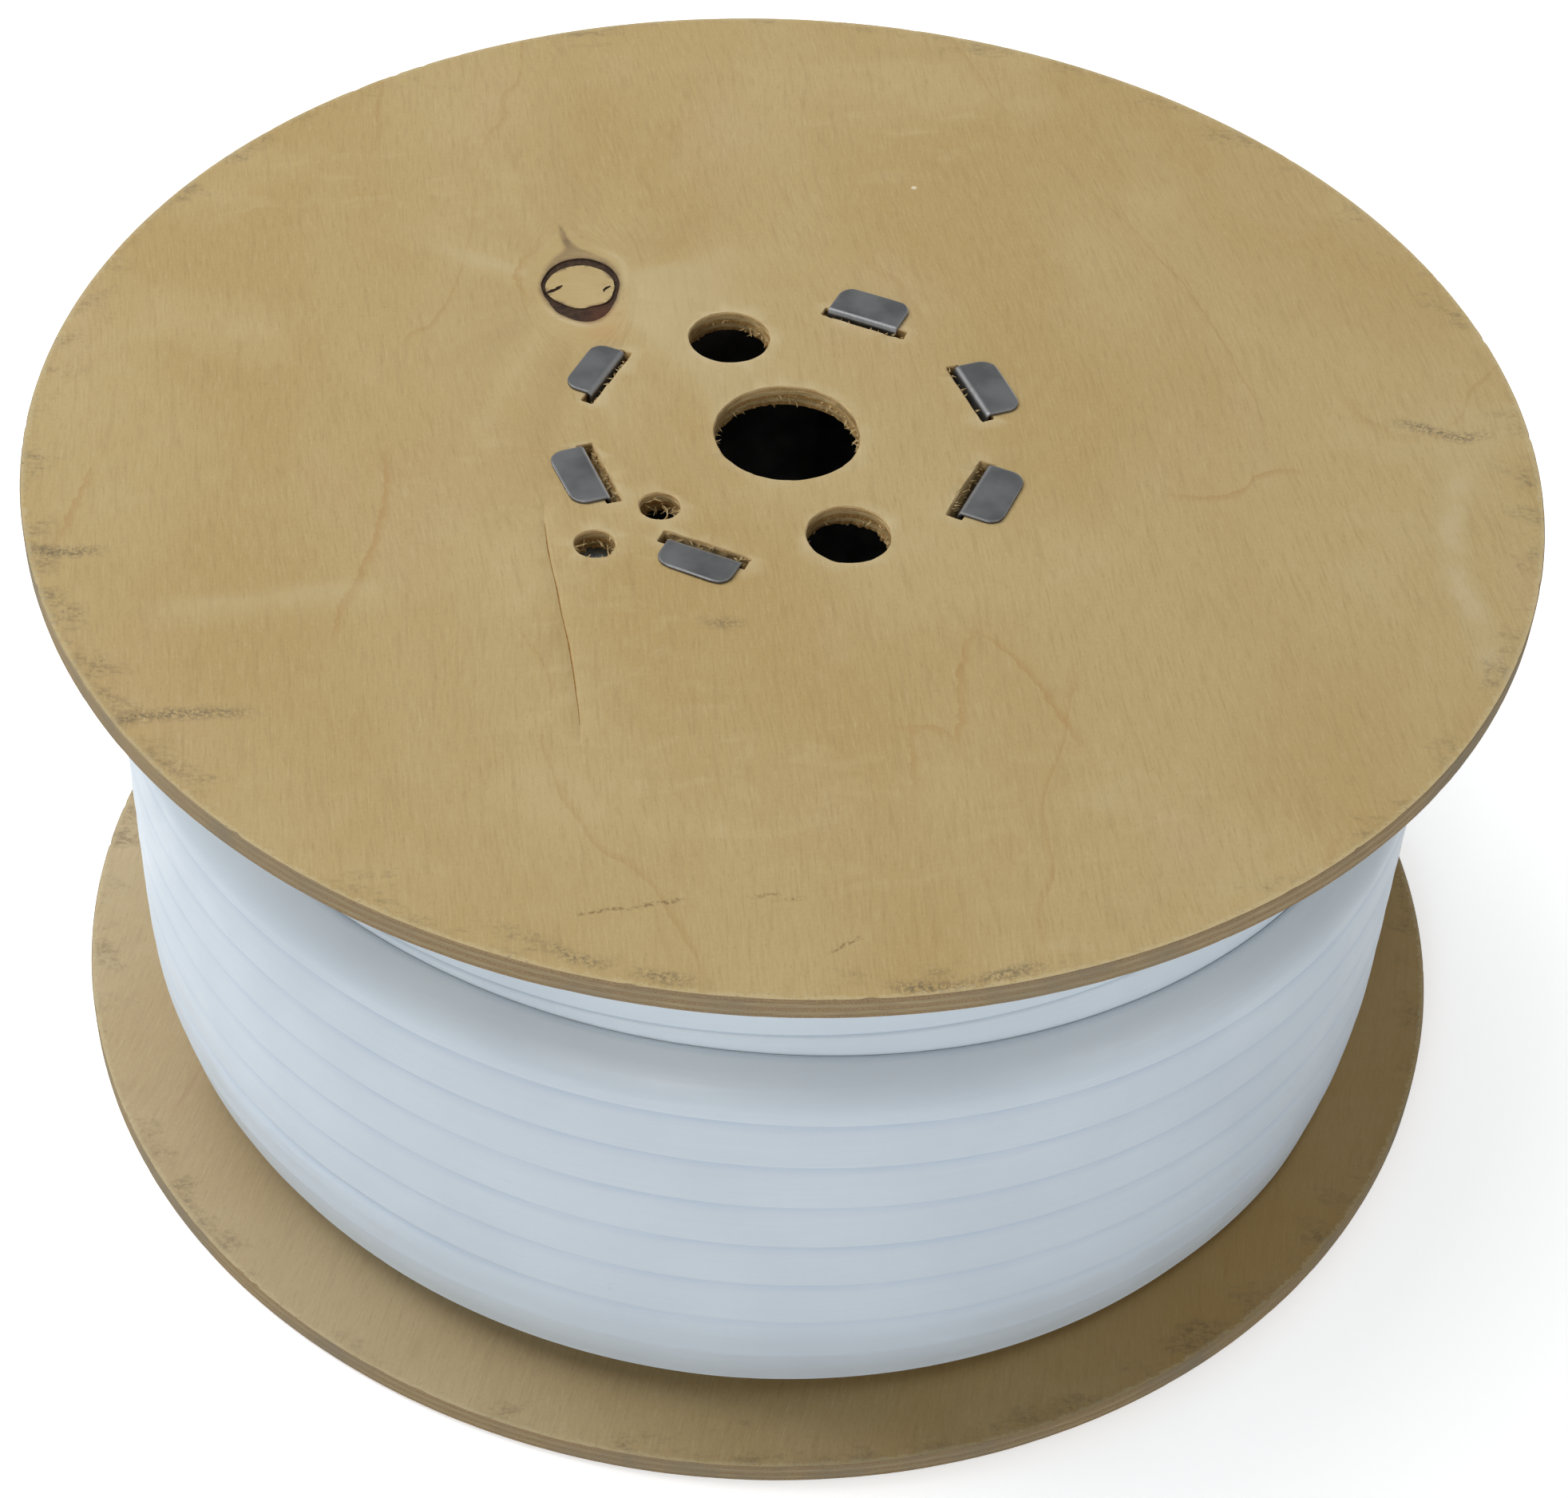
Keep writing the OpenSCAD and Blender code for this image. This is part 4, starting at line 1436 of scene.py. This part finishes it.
def add_floor():
    h, z = FLOOR_HALF, -0.3 * MM
    mesh = bpy.data.meshes.new("floor")
    mesh.from_pydata([(-h, -h, z), (h, -h, z), (h, h, z), (-h, h, z)], [], [(0, 1, 2, 3)])
    m = Shader("floor")
    m.tree.nodes.remove(m.bsdf)
    seen = m.seen()
    matt = m.node("ShaderNodeBsdfDiffuse", {"Color": FLOOR_TONE})
    glow = m.node("ShaderNodeEmission", {"Color": WHITE, "Strength": m.mul(seen, FLOOR_GLOW)})
    near = m.node("ShaderNodeAddShader", {0: matt, 1: glow})
    # far from the drum the floor is as white as the background
    x, y, z = m.split(m.place())
    far = m.mul(m.step(m.length(x, y), 0.3, 1.1), seen)
    white = m.node("ShaderNodeEmission", {"Color": WHITE, "Strength": 1.0})
    m.put(m.out.inputs["Surface"], m.node("ShaderNodeMixShader", {0: far, 1: near, 2: white}))
    mesh.materials.append(m.mat)
    floor = add_to_scene("floor", mesh)


def add_world():
    world = bpy.data.worlds.new("studio")
    bpy.context.scene.world = world
    world.use_nodes = True
    n = Nodes(world.node_tree)
    dim = n.node("ShaderNodeBackground", {"Color": WHITE, "Strength": WORLD_LIGHT})
    white = n.node("ShaderNodeBackground", {"Color": WHITE, "Strength": 1.0})
    out = n.tree.nodes.new("ShaderNodeOutputWorld")
    n.put(out.inputs["Surface"], n.node("ShaderNodeMixShader", {0: n.seen(), 1: dim, 2: white}))


def add_lamp(name, azimuth, elevation, distance, size, power):
    data = bpy.data.lights.new(name, "AREA")
    data.shape = "SQUARE"
    data.size = size
    data.energy = power
    lamp = add_to_scene(name, data)
    rise = math.radians(elevation)
    x, y = on_circle(math.cos(rise), math.radians(azimuth) + PHOTO_TURN)
    lamp.location = Vector((x, y, math.sin(rise))) * distance + LAMPS_AIM
    lamp.rotation_euler = (LAMPS_AIM - lamp.location).to_track_quat("-Z", "Y").to_euler()


add_floor()
add_world()
for lamp_row in LAMPS:
    add_lamp(*lamp_row)

bpy.context.scene.view_settings.view_transform = "Standard"
